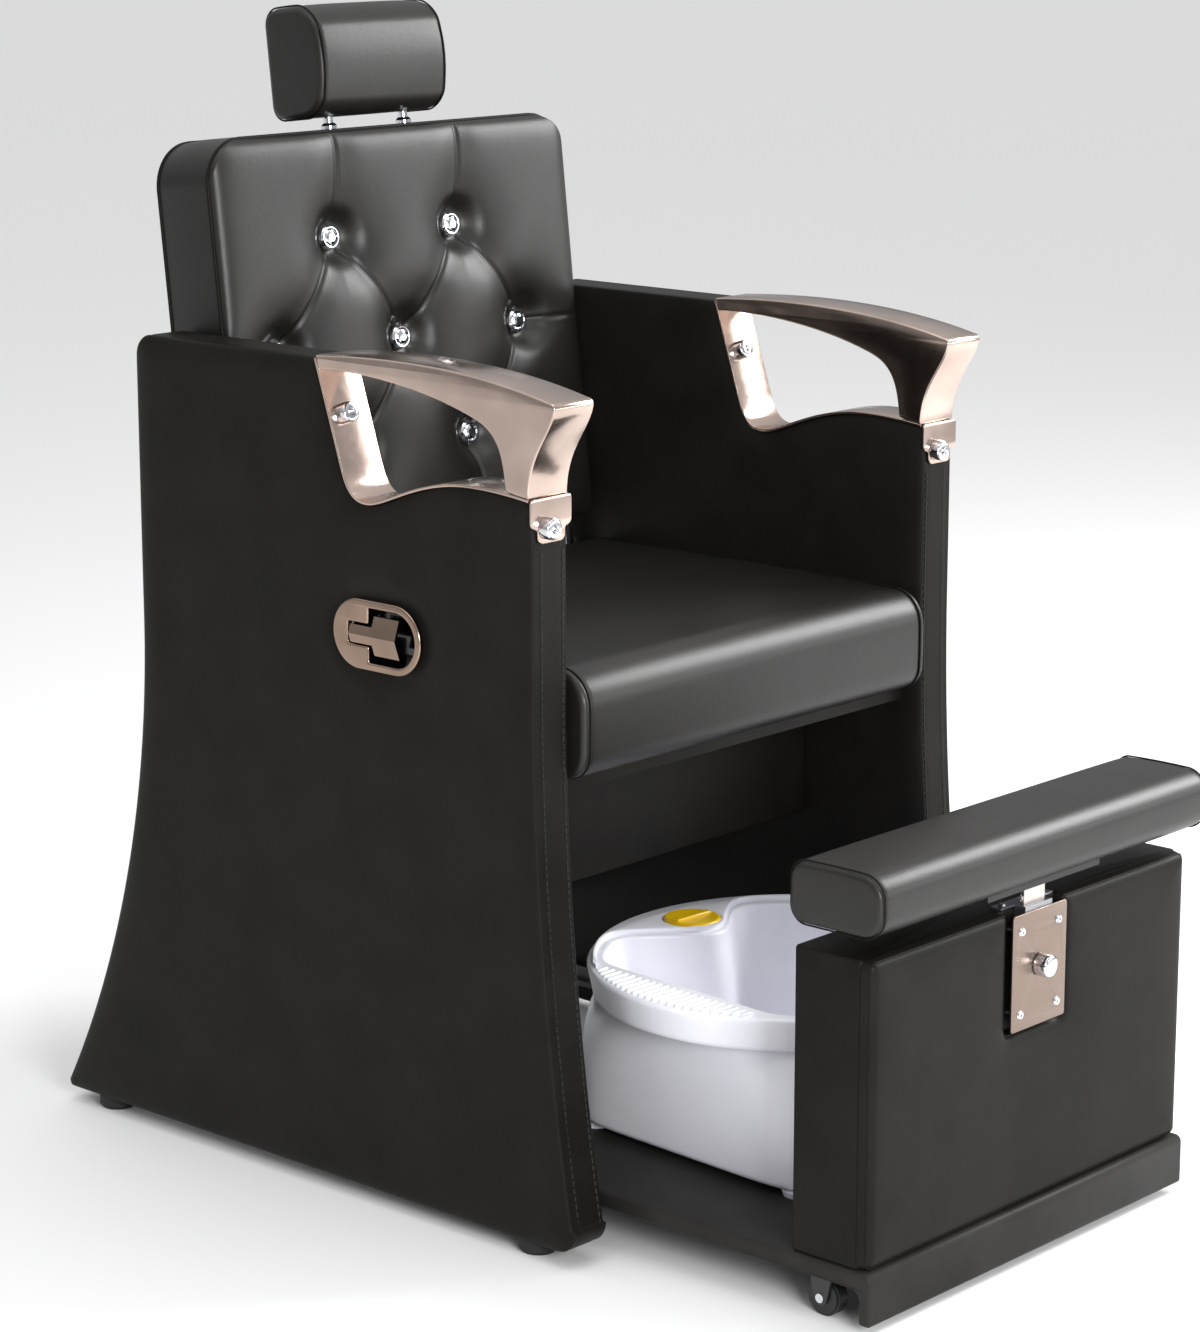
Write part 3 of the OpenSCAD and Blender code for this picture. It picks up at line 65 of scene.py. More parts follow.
MM = 0.001
# The middle of the lever's plate in y and z, and the plate's length and width.
LEVER, LEVER_PLATE = (201, 589), (120, 70)
# From each panel's inner face to the footrest box, and to the tray.
BOX_GAP, TRAY_GAP = 17, 14
# The box's front board in y, and the box's underside and top in z.
BOX_FRONT, BOX_LOW, BOX_TOP = -340, 60, 358
# The middle of the basin's well, and the directions from it in which the well and the rim are measured.
WELL, RAYS = np.array([0.0, -40.0]), np.linspace(0, 2 * math.pi, 480, endpoint=False)


def linear(code):
    """An sRGB hex value such as "2a2928" as linear red, green and blue."""
    srgb = [int(code[i:i + 2], 16) / 255 for i in (0, 2, 4)]
    return tuple(c / 12.92 if c <= 0.04045 else ((c + 0.055) / 1.055) ** 2.4 for c in srgb)


# ---------------------------------------------------------------- sizes

def number(name, description, default, **more):
    """A size or strength that a user can change."""
    return bpy.props.FloatProperty(name=name, description=description, default=default, **more)


def swatch(name, description, code):
    """A colour that a user can change."""
    return bpy.props.FloatVectorProperty(name=name, description=description, subtype="COLOR",
                                         default=linear(code))


class PanelSizes(bpy.types.PropertyGroup):
    """Sizes of the padded side panels, in millimetres."""
    thick: number("Thickness", "Thickness of one side panel", 55.0)
    top: number("Top", "Height of the panel behind the arm", 852.0)
    depth: number("Depth", "Depth of the panel at its top", 552.0)
    flare_top: number("Flare top", "Height where the feet begin to flare", 560.0)
    front_flare: number("Front flare", "Radius of the front flare", 2920.0)
    rear_flare: number("Rear flare", "Radius of the rear flare", 1070.0)
    foot: number("Foot", "Height of the panel's lower edge", 16.0)
    foot_round: number("Foot corner", "Radius of the front lower corner", 24.0)
    top_round: number("Top corner", "Radius of the rear top corner", 22.0)
    roll: number("Edge roll", "Width of the padded roll along the edges", 30.0)
    roll_deep: number("Roll depth", "Fall of the leather across the roll", 6.0)
    stitch: number("Stitch pitch", "Distance between two stitches", 7.5)


class BackSizes(bpy.types.PropertyGroup):
    """Sizes of the tufted backrest and the headrest, in millimetres and degrees."""
    width: number("Width", "Width of the backrest", 522.0)
    height: number("Height", "Height of the backrest along its lean", 450.0)
    deep: number("Depth", "Depth of the boxed sides", 78.0)
    lean: number("Lean", "Lean from upright, in degrees", 6.5)
    hinge_y: number("Hinge y", "Hinge behind the front edge", 492.0)
    hinge_z: number("Hinge z", "Height of the hinge", 557.0)
    clear: number("Clearance", "From the hinge line up to the underside", 36.0)
    reach: number("Reach", "From the hinge line forward to the front seam", 39.6)
    crown: number("Crown", "Swell between the buttons", 13.0)
    tuft: number("Tuft", "Depth of a button behind the seam", 14.0)
    button_dx: number("Button spacing", "Half the distance in a row", 90.0)
    button_ds: number("Row spacing", "Distance between rows", 113.0)
    button_s0: number("First row", "Lowest row above the hinge", 150.0)
    button: number("Button", "Diameter of a button", 26.0)


class FootSizes(bpy.types.PropertyGroup):
    """Sizes of the basin and its dial, in millimetres and degrees."""
    rim_w: number("Rim width", "Width over the rim", 420.0)
    rim_d: number("Rim depth", "Depth over the rim", 408.0)
    turn: number("Turn", "Turn of the loose basin, in degrees", 3.5)
    x: number("Offset", "Offset of the basin to the side", 12.0)
    y: number("Place", "Centre of the basin in front of the panels", 44.0)
    well_x: number("Well", "Half width of the well", 152.0)
    lobe: number("Housing", "Width of the control housing's round end", 76.0)
    spread: number("Spread", "Spread of the housing's sides, in degrees", 50.0)
    dial: number("Dial", "Diameter of the dial", 60.0)
    rib: number("Rib pitch", "Distance between two ribs", 9.5)


class Colours(bpy.types.PropertyGroup):
    """Base colours of the finishes."""
    leather: swatch("Leather", "Upholstery", "181715")
    board: swatch("Boards", "Covered boards of the tray", "2a2928")
    rose: swatch("Rose plating", "Arms and straps", "c4b0a5")
    bronze: swatch("Bronze plating", "Lever and its plate", "a28b7b")
    white: swatch("Basin", "Moulded basin", "f4f4fc")
    yellow: swatch("Dial", "Dial of the basin", "fbce12")


class Studio(bpy.types.PropertyGroup):
    """The camera, the floor and the lights."""
    eye: bpy.props.FloatVectorProperty(name="Camera", description="Place of the camera", subtype="XYZ",
                                       unit="LENGTH", default=(-2.77657, -2.31303, 1.35608))
    yaw: number("Yaw", "Turn of the view from +X", 42.06)
    pitch: number("Pitch", "Tilt of the view below level", 12.80)
    lens: number("Lens", "Focal length", 100.25, unit="CAMERA")
    floor: swatch("Floor", "Colour of the floor", "f4f4f4")
    sky: number("Ambient", "Strength of the room's light", 1.0)
    key: number("Key light", "Power of the bright strip at the right", 104.0, unit="POWER")
    fill: number("Fill light", "Power of the lamp beside the camera", 85.0, unit="POWER")
    soft: number("Soft light", "Power of the low softbox at the right", 24.0, unit="POWER")


class SpaChair(bpy.types.PropertyGroup):
    """All sizes and colours of the chair."""
    panel: bpy.props.PointerProperty(type=PanelSizes)
    back: bpy.props.PointerProperty(type=BackSizes)
    basin: bpy.props.PointerProperty(type=FootSizes)
    colours: bpy.props.PointerProperty(type=Colours)
    studio: bpy.props.PointerProperty(type=Studio)


def chair():
    """The sizes and colours in use."""
    return bpy.context.scene.spa_chair


# ---------------------------------------------------------------- meshes

def xyz(x, y, z):
    """Points from three coordinates, each a row of numbers or one number for all."""
    return np.stack(np.broadcast_arrays(*(np.asarray(v, float) for v in (x, y, z))), -1)


def heading(angles):
    """Unit steps in the plane along angles in radians."""
    return np.stack([np.cos(angles), np.sin(angles)], -1)


def flare(z, top, radius):
    """Spread of a flared edge below its top: an arc that starts upright at the top."""
    below = np.clip(top - np.asarray(z, float), 0, None)
    return radius - np.sqrt(radius * radius - below * below)


def shift():
    """What moves a drawn point into the frame: the middle of the panels, and their front edge."""
    p = chair().panel
    left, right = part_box("side_cover_left"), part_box("side_cover_right")
    rear = p.depth + flare(p.foot, p.flare_top, p.rear_flare)
    return np.array([(left[0].x + right[1].x) / 2, left[1].y - rear * MM, 0.0])


def half_inside():
    """Half the clear width between the panels, in millimetres."""
    left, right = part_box("side_cover_left"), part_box("side_cover_right")
    return (right[0].x - left[1].x) / MM / 2


def quads(rows, cols, wrap=True, first=0, ring=False):
    """Corner numbers of the faces of a grid of points, row after row. wrap closes each row on itself, and
    ring joins the last row to the first."""
    i, j = np.meshgrid(np.arange(rows if ring else rows - 1), np.arange(cols if wrap else cols - 1),
                       indexing="ij")
    here, ahead, k = i * cols, (i + 1) % rows * cols, (j + 1) % cols
    return (first + np.stack([here + j, here + k, ahead + k, ahead + j], -1)).reshape(-1, 4)


def fan(ring, centre):
    """Triangles between the point numbers of a closed ring and one centre point."""
    return np.stack([ring, np.roll(ring, -1), np.full(len(ring), centre)], -1)


def cap(*loops):
    """Triangles that close a flat outline, less the holes that follow it."""
    return np.array(tessellate_polygon([[Vector((p[0], p[1], 0)) for p in loop] for loop in loops]))


def add(name, data):
    """A new object in the scene that holds the data."""
    made = bpy.data.objects.new(name, data)
    bpy.context.scene.collection.objects.link(made)
    return made


def make(name, shape, look, body, replaces=(), smooth=40, weld=0.0):
    """A piece from a shape, which is points in drawing millimetres and lists of corner numbers. It has the
    finish called look, rides on a body, stands for CAD nodes, and is smooth except where faces meet at
    more than the given angle."""
    points, polygons = shape
    mesh = bpy.data.meshes.new(name)
    place = np.asarray(points, float) * MM + shift()
    mesh.from_pydata(place.tolist(), [], [row for faces in polygons for row in np.asarray(faces).tolist()])
    work = bmesh.new()
    work.from_mesh(mesh)
    if weld:
        bmesh.ops.remove_doubles(work, verts=work.verts, dist=weld * MM)
    bmesh.ops.recalc_face_normals(work, faces=work.faces)
    work.to_mesh(mesh)
    work.free()
    mesh.shade_smooth()
    if smooth:
        mesh.set_sharp_from_angle(angle=math.radians(smooth))
    mesh.materials.append(finish(look))
    piece = add(name, mesh)
    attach(piece, body)
    if replaces:
        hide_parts(*replaces)


def shell(rings):
    """A closed skin through rings with equal numbers of points, with a fan at each end."""
    rows, cols = rings.shape[:2]
    ends = np.stack([rings[0].mean(0), rings[-1].mean(0)])
    last = np.arange(cols) + (rows - 1) * cols
    return np.concatenate([rings.reshape(-1, 3), ends]), [
        quads(rows, cols), fan(np.arange(cols), rows * cols), fan(last, rows * cols + 1)]


def bezier(a, b, c, d, count):
    """Points of a cubic Bezier curve, ends included."""
    t = np.linspace(0, 1, count)[:, None]
    a, b, c, d = (np.asarray(p, float) for p in (a, b, c, d))
    return (1 - t) ** 3 * a + 3 * (1 - t) ** 2 * t * b + 3 * (1 - t) * t * t * c + t ** 3 * d


def arc(centre, radius, start, end, count):
    """Points of an arc, ends included, with its angles in degrees."""
    return np.asarray(centre, float) + radius * heading(np.radians(np.linspace(start, end, count)))


def spaced(line, count, closed=False):
    """The same line with its points evenly spaced by length."""
    line = np.asarray(line, float)
    if closed:
        line = np.concatenate([line, line[:1]])
    step = np.linalg.norm(np.diff(line, axis=0), axis=1)
    keep = np.concatenate([[True], step > 1e-6])
    line, at = line[keep], np.concatenate([[0], np.cumsum(step)])[keep]
    goal = np.linspace(0, at[-1], count, endpoint=not closed)
    return np.stack([np.interp(goal, at, line[:, k]) for k in range(line.shape[1])], -1)


def outward(loop):
    """Unit normals of a closed two-dimensional loop that runs counter-clockwise, pointing out of it."""
    along = np.roll(loop, -1, 0) - np.roll(loop, 1, 0)
    out = np.stack([along[:, 1], -along[:, 0]], -1)
    return out / np.maximum(np.linalg.norm(out, axis=1, keepdims=True), 1e-9)


def turned(loop, clockwise=False):
    """The loop run counter-clockwise, as an outline has to be, or clockwise, as a hole has to be. The sum
    of its corners' cross products tells which way it runs."""
    ahead = np.roll(loop, -1, 0)
    runs_clockwise = (ahead[:, 0] * loop[:, 1] - loop[:, 0] * ahead[:, 1]).sum() > 0
    return loop if runs_clockwise == clockwise else loop[::-1]


def rounded_polygon(corners, radii, count=7):
    """A polygon with each corner replaced by an arc of its own radius."""
    corners = np.asarray(corners, float)
    parts = []
    for k, r in enumerate(radii):
        before, here, after = corners[k - 1], corners[k], corners[(k + 1) % len(corners)]
        u, v = before - here, after - here
        u, v = u / np.linalg.norm(u), v / np.linalg.norm(v)
        half = math.acos(float(np.clip(u @ v, -1, 1))) / 2
        if r < 1e-6 or half > math.pi / 2 - 1e-3:
            parts.append(here[None])
            continue
        middle = here + (u + v) / np.linalg.norm(u + v) * r / math.sin(half)
        a, b = here + u * r / math.tan(half) - middle, here + v * r / math.tan(half) - middle
        t = np.linspace(0, 1, count)[:, None]
        mixed = a * (1 - t) + b * t
        parts.append(middle + mixed / np.linalg.norm(mixed, axis=1, keepdims=True) * r)
    return np.concatenate(parts)


def stadium(centre, length, width, count=40):
    """A slot outline with round ends, counter-clockwise."""
    reach = (length - width) / 2
    return np.concatenate([arc((centre[0] + s * reach, centre[1]), width / 2, a, a + 180, count)
                           for s, a in ((1, -90), (-1, 90))])


def plate(loops, thick, bevel, place):
    """A flat plate with rounded edges. loops holds its outline, counter-clockwise, and then its holes,
    clockwise. place turns rows of two outline coordinates and a height into points."""
    points, polygons, first = [], [], 0
    caps = ([], [])
    turns = np.radians([0, 30, 60, 90])
    rise, inset = bevel * (1 - np.sin(turns)), bevel * (1 - np.cos(turns))
    heights, insets = np.concatenate([rise[::-1], thick - rise]), np.concatenate([inset[::-1], inset])
    for loop in loops:
        out, n = outward(loop), len(loop)
        rings = [xyz(*(loop - out * d).T, height) for height, d in zip(heights, insets)]
        points.append(place(np.concatenate(rings)))
        polygons.append(quads(len(rings), n, first=first))
        caps[0].append((loop - out * insets[0], first))
        caps[1].append((loop - out * insets[-1], first + (len(rings) - 1) * n))
        first += len(rings) * n
    for ends in caps:
        numbers = np.concatenate([np.arange(len(loop)) + start for loop, start in ends])
        polygons.append(numbers[cap(*(loop for loop, _ in ends))])
    return np.concatenate(points), polygons


def lathe(profile, place, count=48):
    """A turned skin: rows of radius and height round an axis, closed at both ends on the axis."""
    t = np.linspace(0, 2 * math.pi, count, endpoint=False)
    radius, height = np.asarray(profile, float).T[:, :, None]
    points, polygons = shell(xyz(radius * np.cos(t), radius * np.sin(t), height))
    return place(points), polygons


def tube(path, radius, sides=8, closed=False, up=(0, 0, 1)):
    """A round tube along a line in space."""
    path = np.asarray(path, float)
    along = np.roll(path, -1, 0) - np.roll(path, 1, 0) if closed else np.gradient(path, axis=0)
    along /= np.linalg.norm(along, axis=1, keepdims=True)
    side = np.cross(along, up)
    side /= np.maximum(np.linalg.norm(side, axis=1, keepdims=True), 1e-9)
    over = np.cross(side, along)
    t = np.linspace(0, 2 * math.pi, sides, endpoint=False)[:, None]
    rings = path[:, None] + radius * (np.cos(t) * side[:, None] + np.sin(t) * over[:, None])
    return (rings.reshape(-1, 3), [quads(len(path), sides, ring=True)]) if closed else shell(rings)


def join(parts):
    """Several shapes as one."""
    first, points, polygons = 0, [], []
    for some, faces in parts:
        points.append(some)
        polygons += [np.asarray(f) + first for f in faces]
        first += len(some)
    return np.concatenate(points), polygons


def corners_of(lo, hi):
    """The four corners of a box in the plane, counter-clockwise from (low, low)."""
    return [(lo[0], lo[1]), (hi[0], lo[1]), (hi[0], hi[1]), (lo[0], hi[1])]


def box_ring(lo, hi, radii, count):
    """A box outline with its own radius at each corner, evenly spaced."""
    return spaced(rounded_polygon(corners_of(lo, hi), radii, 16), count, closed=True)


def rounded_box(lo, hi, r, count=5):
    """A box with round edges and corners: each corner is an eighth of a ball, and rows run round the box."""
    lo, hi = np.asarray(lo, float), np.asarray(hi, float)
    rings = []
    for a in np.radians(np.linspace(-90, 90, 2 * count)):
        inset = r * (1 - math.cos(a))
        z = (lo[2] + r if a < 0 else hi[2] - r) + r * math.sin(a)
        outline = rounded_polygon(corners_of(lo + inset, hi - inset), [max(r - inset, 0.02)] * 4, count)
        rings.append(xyz(*outline.T, z))
    return shell(np.stack(rings))


# ---------------------------------------------------------------- materials

def node(tree, kind, settings=None, **links):
    """Adds a shader node. settings are its attributes; links are its inputs, each a value or a socket."""
    made = tree.nodes.new(kind)
    for key, value in (settings or {}).items():
        setattr(made, key, value)
    for key, value in links.items():
        name = key.replace("_", " ")
        socket = made.inputs[int(name[1:])] if name[0] == "i" and name[1:].isdigit() else made.inputs[name]
        if isinstance(value, bpy.types.NodeSocket):
            tree.links.new(value, socket)
        else:
            socket.default_value = value
    return made


def material(name, colour, **sockets):
    """An empty material with its shader, colour and plain shader values."""
    made = bpy.data.materials.new(name)
    made.use_nodes = True
    shader = made.node_tree.nodes["Principled BSDF"]
    shader.inputs["Base Color"].default_value = made.diffuse_color = (*colour, 1)
    for key, value in sockets.items():
        shader.inputs[key.replace("_", " ")].default_value = value
    return made, made.node_tree, shader


def feed(tree, shader, **sockets):
    """Links outputs of other nodes to inputs of the shader."""
    for key, value in sockets.items():
        tree.links.new(value, shader.inputs[key.replace("_", " ")])


def coordinates(tree):
    """Object coordinates in metres."""
    return node(tree, "ShaderNodeTexCoord").outputs["Object"]


def noise(tree, size, detail=2.0):
    """Noise whose features are about size millimetres across."""
    return node(tree, "ShaderNodeTexNoise", Vector=coordinates(tree), Scale=1000.0 / size,
                Detail=detail).outputs[0]


def bump(tree, shader, height, depth):
    """Relief from a height of 0 to 1 that stands for depth millimetres."""
    made = node(tree, "ShaderNodeBump", Height=height, Distance=depth * MM, Strength=1.0)
    feed(tree, shader, Normal=made.outputs[0])


def ramp(tree, value, low, high, start=0.0, end=1.0):
    """A value mapped from low..high to start..end."""
    return node(tree, "ShaderNodeMapRange", Value=value, i1=low, i2=high, i3=start, i4=end).outputs[0]


def tint(tree, factor, dark, light):
    """A colour between two colours."""
    made = node(tree, "ShaderNodeMix", {"data_type": "RGBA"}, i0=factor)
    made.inputs[6].default_value = (*dark, 1)
    made.inputs[7].default_value = (*light, 1)
    return made.outputs[2]


def shades(tree, factor, colour, dark, light):
    """A colour between a darker and a lighter share of itself."""
    return tint(tree, factor, [c * dark for c in colour], [min(1.0, c * light) for c in colour])


def leather(name, colour, roughness=0.4, grain=1.1, gloss=0.11):
    """Upholstery of black PU leather, calendered on a knitted backing. The eye sees a soft satin sheen
    broken by a fine pebble grain, with creases of a few millimetres and slightly greyer high spots."""
    made, tree, shader = material(name, colour, Roughness=roughness, IOR=1.46, Specular_IOR_Level=gloss)
    cells = node(tree, "ShaderNodeTexVoronoi", {"feature": "SMOOTH_F1"}, Vector=coordinates(tree),
                 Scale=1000.0 / grain, Smoothness=0.55, Randomness=0.9).outputs["Distance"]
    creases = ramp(tree, noise(tree, 7.0, 4.0), 0.3, 0.7, 0.0, 0.6)
    relief = node(tree, "ShaderNodeMath", {"operation": "ADD"}, i0=cells, i1=creases).outputs[0]
    bump(tree, shader, relief, 0.07)
    worn = ramp(tree, noise(tree, 60.0, 3.0), 0.35, 0.65)
    feed(tree, shader, Base_Color=shades(tree, worn, colour, 0.86, 1.16),
         Roughness=ramp(tree, cells, 0.0, 0.7, roughness - 0.05, roughness + 0.06))
    return made


def plated(name, colour, roughness, ripple=0.02):
    """Steel with a bright PVD coat over polished nickel. It mirrors the room in its own colour, a little
    softened by polishing marks and handling."""
    made, tree, shader = material(name, colour, Metallic=1.0, Roughness=roughness)
    coat = ramp(tree, noise(tree, 70.0), 0.35, 0.65)
    feed(tree, shader, Base_Color=shades(tree, coat, colour, 0.86, 1.08),
         Roughness=ramp(tree, noise(tree, 9.0, 4.0), 0.3, 0.7, roughness, roughness + 0.05))
    bump(tree, shader, noise(tree, 45.0, 1.0), ripple)
    return made


def post_with_painted_shade(name, colour, painted_shade_above):
    """Satin steel post whose upper plate is made dull black from a height in millimetres upwards: painted
    shade that stands for the pad's shadow over the plate, with a sharp edge between the bright metal and the
    black."""
    made, tree, shader = material(name, colour)
    high = node(tree, "ShaderNodeSeparateXYZ", Vector=coordinates(tree)).outputs[2]
    # Painted shade: the plate is black above this height, where it lies in the shadow under the pad.
    painted = ramp(tree, high, (painted_shade_above - 0.5) * MM, (painted_shade_above + 0.5) * MM)
    feed(tree, shader, Base_Color=tint(tree, painted, colour, linear("121212")),
         Metallic=ramp(tree, painted, 0.0, 1.0, 1.0, 0.0), Roughness=ramp(tree, painted, 0.0, 1.0, 0.26, 0.5))
    return made


def brushed(name, colour, roughness):
    """Steel brushed along its length and lacquered: fine lines that spread the highlight."""
    made, tree, shader = material(name, colour, Metallic=1.0, Roughness=roughness)
    drawn = node(tree, "ShaderNodeMapping", Vector=coordinates(tree), Scale=(60.0, 60.0, 2600.0)).outputs[0]
    lines = node(tree, "ShaderNodeTexNoise", Vector=drawn, Scale=1.0, Detail=3.0).outputs[0]
    feed(tree, shader, Roughness=ramp(tree, lines, 0.3, 0.7, roughness - 0.06, roughness + 0.08))
    bump(tree, shader, lines, 0.01)
    return made


def moulded(name, colour, roughness, grain=0.0, depth=0.0, coat=0.0):
    """Injection-moulded plastic or rubber: even colour with faint flow marks, and a spark-eroded grain where
    the tool has one."""
    made, tree, shader = material(name, colour, Roughness=roughness, IOR=1.5, Coat_Weight=coat)
    flow = noise(tree, 40.0)
    feed(tree, shader, Base_Color=shades(tree, flow, colour, 0.97, 1.02),
         Roughness=ramp(tree, flow, 0.3, 0.7, roughness - 0.02, roughness + 0.04))
    if grain:
        bump(tree, shader, noise(tree, grain), depth)
    return made


def plywood(name):
    """Planed birch and plywood members: pale wood with long grain along X and thin darker growth lines."""
    made, tree, shader = material(name, linear("c6a06c"), Roughness=0.6)
    long = node(tree, "ShaderNodeMapping", Vector=coordinates(tree), Scale=(6.0, 70.0, 70.0)).outputs[0]
    grain = node(tree, "ShaderNodeTexNoise", Vector=long, Scale=3.0, Detail=5.0, Distortion=0.6).outputs[0]
    lines = ramp(tree, grain, 0.35, 0.65)
    feed(tree, shader, Base_Color=tint(tree, lines, linear("a87f4c"), linear("d4b383")))
    bump(tree, shader, grain, 0.1)
    return made


def gem(name):
    """Cut glass with a silvered back, set as the button's face: it mirrors the room in small flat facets."""
    made, tree, shader = material(name, linear("dfe6f0"), Metallic=1.0, Roughness=0.05)
    feed(tree, shader, Base_Color=tint(tree, noise(tree, 5.0, 1.0), linear("8f97a3"), linear("ffffff")))
    return made


def thread(name):
    """Waxed polyester sewing thread, duller and darker than the lit leather that it sinks into."""
    made, tree, shader = material(name, linear("0b0b0b"), Roughness=0.7)
    bump(tree, shader, noise(tree, 0.8), 0.1)
    return made


LOOKS = {
    "leather": lambda c: leather("black_pu_leather", c.leather),
    "leather_soft": lambda c: leather("black_pu_leather_padded", c.leather, 0.36, 1.1, 0.5),
    "leather_board": lambda c: leather("black_pu_leather_board", c.board, 0.4, 0.9),
    "rose": lambda c: plated("rose_gold_plating", c.rose, 0.15),
    "bronze": lambda c: plated("rose_bronze_plating", c.bronze, 0.13),
    "rose_satin": lambda c: brushed("rose_satin_brushed", linear("8a7a70"), 0.3),
    "gloss_black": lambda c: moulded("black_abs_gloss", linear("0c0c0d"), 0.12, coat=0.5),
    # post: bright steel below, and black above 379.5 mm as painted shade under the footrest pad.
    "post": lambda c: post_with_painted_shade("satin_steel_and_painted_shade", linear("c9c0bb"), 379.5),
    "chrome": lambda c: plated("bright_chrome", linear("e3e4e8"), 0.06, 0.01),
    "steel": lambda c: brushed("zinc_steel", linear("9c9ea2"), 0.34),
    "enamel": lambda c: moulded("black_enamel", linear("1c1c1d"), 0.3, coat=0.3),
    "rubber": lambda c: moulded("black_rubber", linear("1b1b1b"), 0.7, 1.2, 0.08),
    "plastic": lambda c: moulded("black_nylon", linear("1d1d1e"), 0.42, 0.9, 0.03),
    "nylon": lambda c: moulded("natural_nylon", linear("dedcd2"), 0.5, 1.0, 0.02),
    "white": lambda c: moulded("white_abs", c.white, 0.3, coat=0.15),
    "yellow": lambda c: moulded("yellow_abs", c.yellow, 0.32, coat=0.2),
    "timber": lambda c: plywood("birch_plywood"),
    "gem": lambda c: gem("silvered_crystal"),
    "thread": lambda c: thread("polyester_thread"),
    # Welt: the upholstery leather at 0.8 of its colour, a darker copy that is painted shade along the seams
    # where the piping lies.
    "welt": lambda c: leather("black_pu_leather_welt_painted_shade", [v * 0.8 for v in c.leather], 0.38, 0.9),
}
SLOT_LOOK = {
    "timber": "timber", "black_leather": "leather", "black_board": "leather_board", "rose_chrome": "rose",
    "rose_satin": "bronze", "bright_chrome": "chrome", "steel": "steel", "black_steel": "enamel",
    "rubber": "rubber", "black_plastic": "plastic", "nylon": "nylon", "white_abs": "white",
    "yellow_abs": "yellow", "crystal": "gem",
}
NODE_LOOK = {
    # pad_bracket takes the post finish: its plate under the pad is black as painted shade.
    "pad_bracket": "post", "lever_cup": "gloss_black", "basin_feet": "white", "tray_rails": "enamel",
    "seat_board": "leather", "seat_bearers": "leather_board", "hinge_plates": "enamel",
    "hinge_pins": "enamel",
}
FINISHES = {}


def finish(name):
    """The finish of one kind, made once."""
    if name not in FINISHES:
        FINISHES[name] = LOOKS[name](chair().colours)
    return FINISHES[name]


# ---------------------------------------------------------------- side panels

def cut_edge():
    """The curved edge of the hand cut-out, from the panel's top to its front shoulder."""
    corner, crest, front = (216, 716), (75, 749), (2, 744)
    return np.concatenate([
        [(286, 852)],
        bezier((250, 744), (242, 721), (230, 716), corner, 13)[:-1],
        bezier(corner, (190, 716), (145, 749), crest, 21)[:-1],
        bezier(crest, (47, 749), (26, 747), front, 9)])


def panel_loop():
    """The side panel's outline, counter-clockwise in y and z, evenly spaced. Its front and rear edges are
    arcs that flare towards the feet."""
    p = chair().panel
    heel_round = 6
    rise = np.linspace(p.foot + p.foot_round, 740, 60)
    front = np.column_stack([-flare(rise, p.flare_top, p.front_flare), rise])
    low = -flare(p.foot, p.flare_top, p.front_flare)
    toe = arc((low + p.foot_round, p.foot + p.foot_round), p.foot_round, 180, 270, 8)
    fall = np.linspace(p.top - p.top_round, p.foot + heel_round, 60)
    rear = np.column_stack([p.depth + flare(fall, p.flare_top, p.rear_flare), fall])
    heel = rear[-1] + arc((-heel_round, 0), heel_round, 0, -90, 5)
    corner = arc((p.depth - p.top_round, p.top - p.top_round), p.top_round, 90, 0, 10)
    clockwise = np.concatenate([front, cut_edge()[::-1], corner, rear[1:], heel, toe[::-1]])
    return spaced(clockwise, 760, closed=True)[::-1]


def near(points, line, closed=True):
    """Distance from each point to the nearest stretch of a line in the plane."""
    line = np.concatenate([line, line[:1]]) if closed else np.asarray(line)
    a, run = line[:-1], line[1:] - line[:-1]
    size = np.maximum((run ** 2).sum(1), 1e-12)
    best, batch = np.full(len(points), 1e9), 4000
    for first in range(0, len(points), batch):
        some = points[first:first + batch, None]
        t = np.clip(((some - a) * run).sum(-1) / size, 0, 1)
        best[first:first + batch] = np.sqrt((((a + t[..., None] * run) - some) ** 2).sum(-1)).min(1)
    return best


def inside(points, loop):
    """True for each point that lies inside a closed loop: an odd number of edges lies to its right."""
    a, b = loop, np.roll(loop, -1, 0)
    x, y = points[:, :1], points[:, 1:]
    cross = (a[:, 1] > y) != (b[:, 1] > y)
    slope = (b[:, 0] - a[:, 0]) / np.where(b[:, 1] == a[:, 1], 1e-9, b[:, 1] - a[:, 1])
    return (cross & (x < a[:, 0] + (y - a[:, 1]) * slope)).sum(1) % 2 == 1


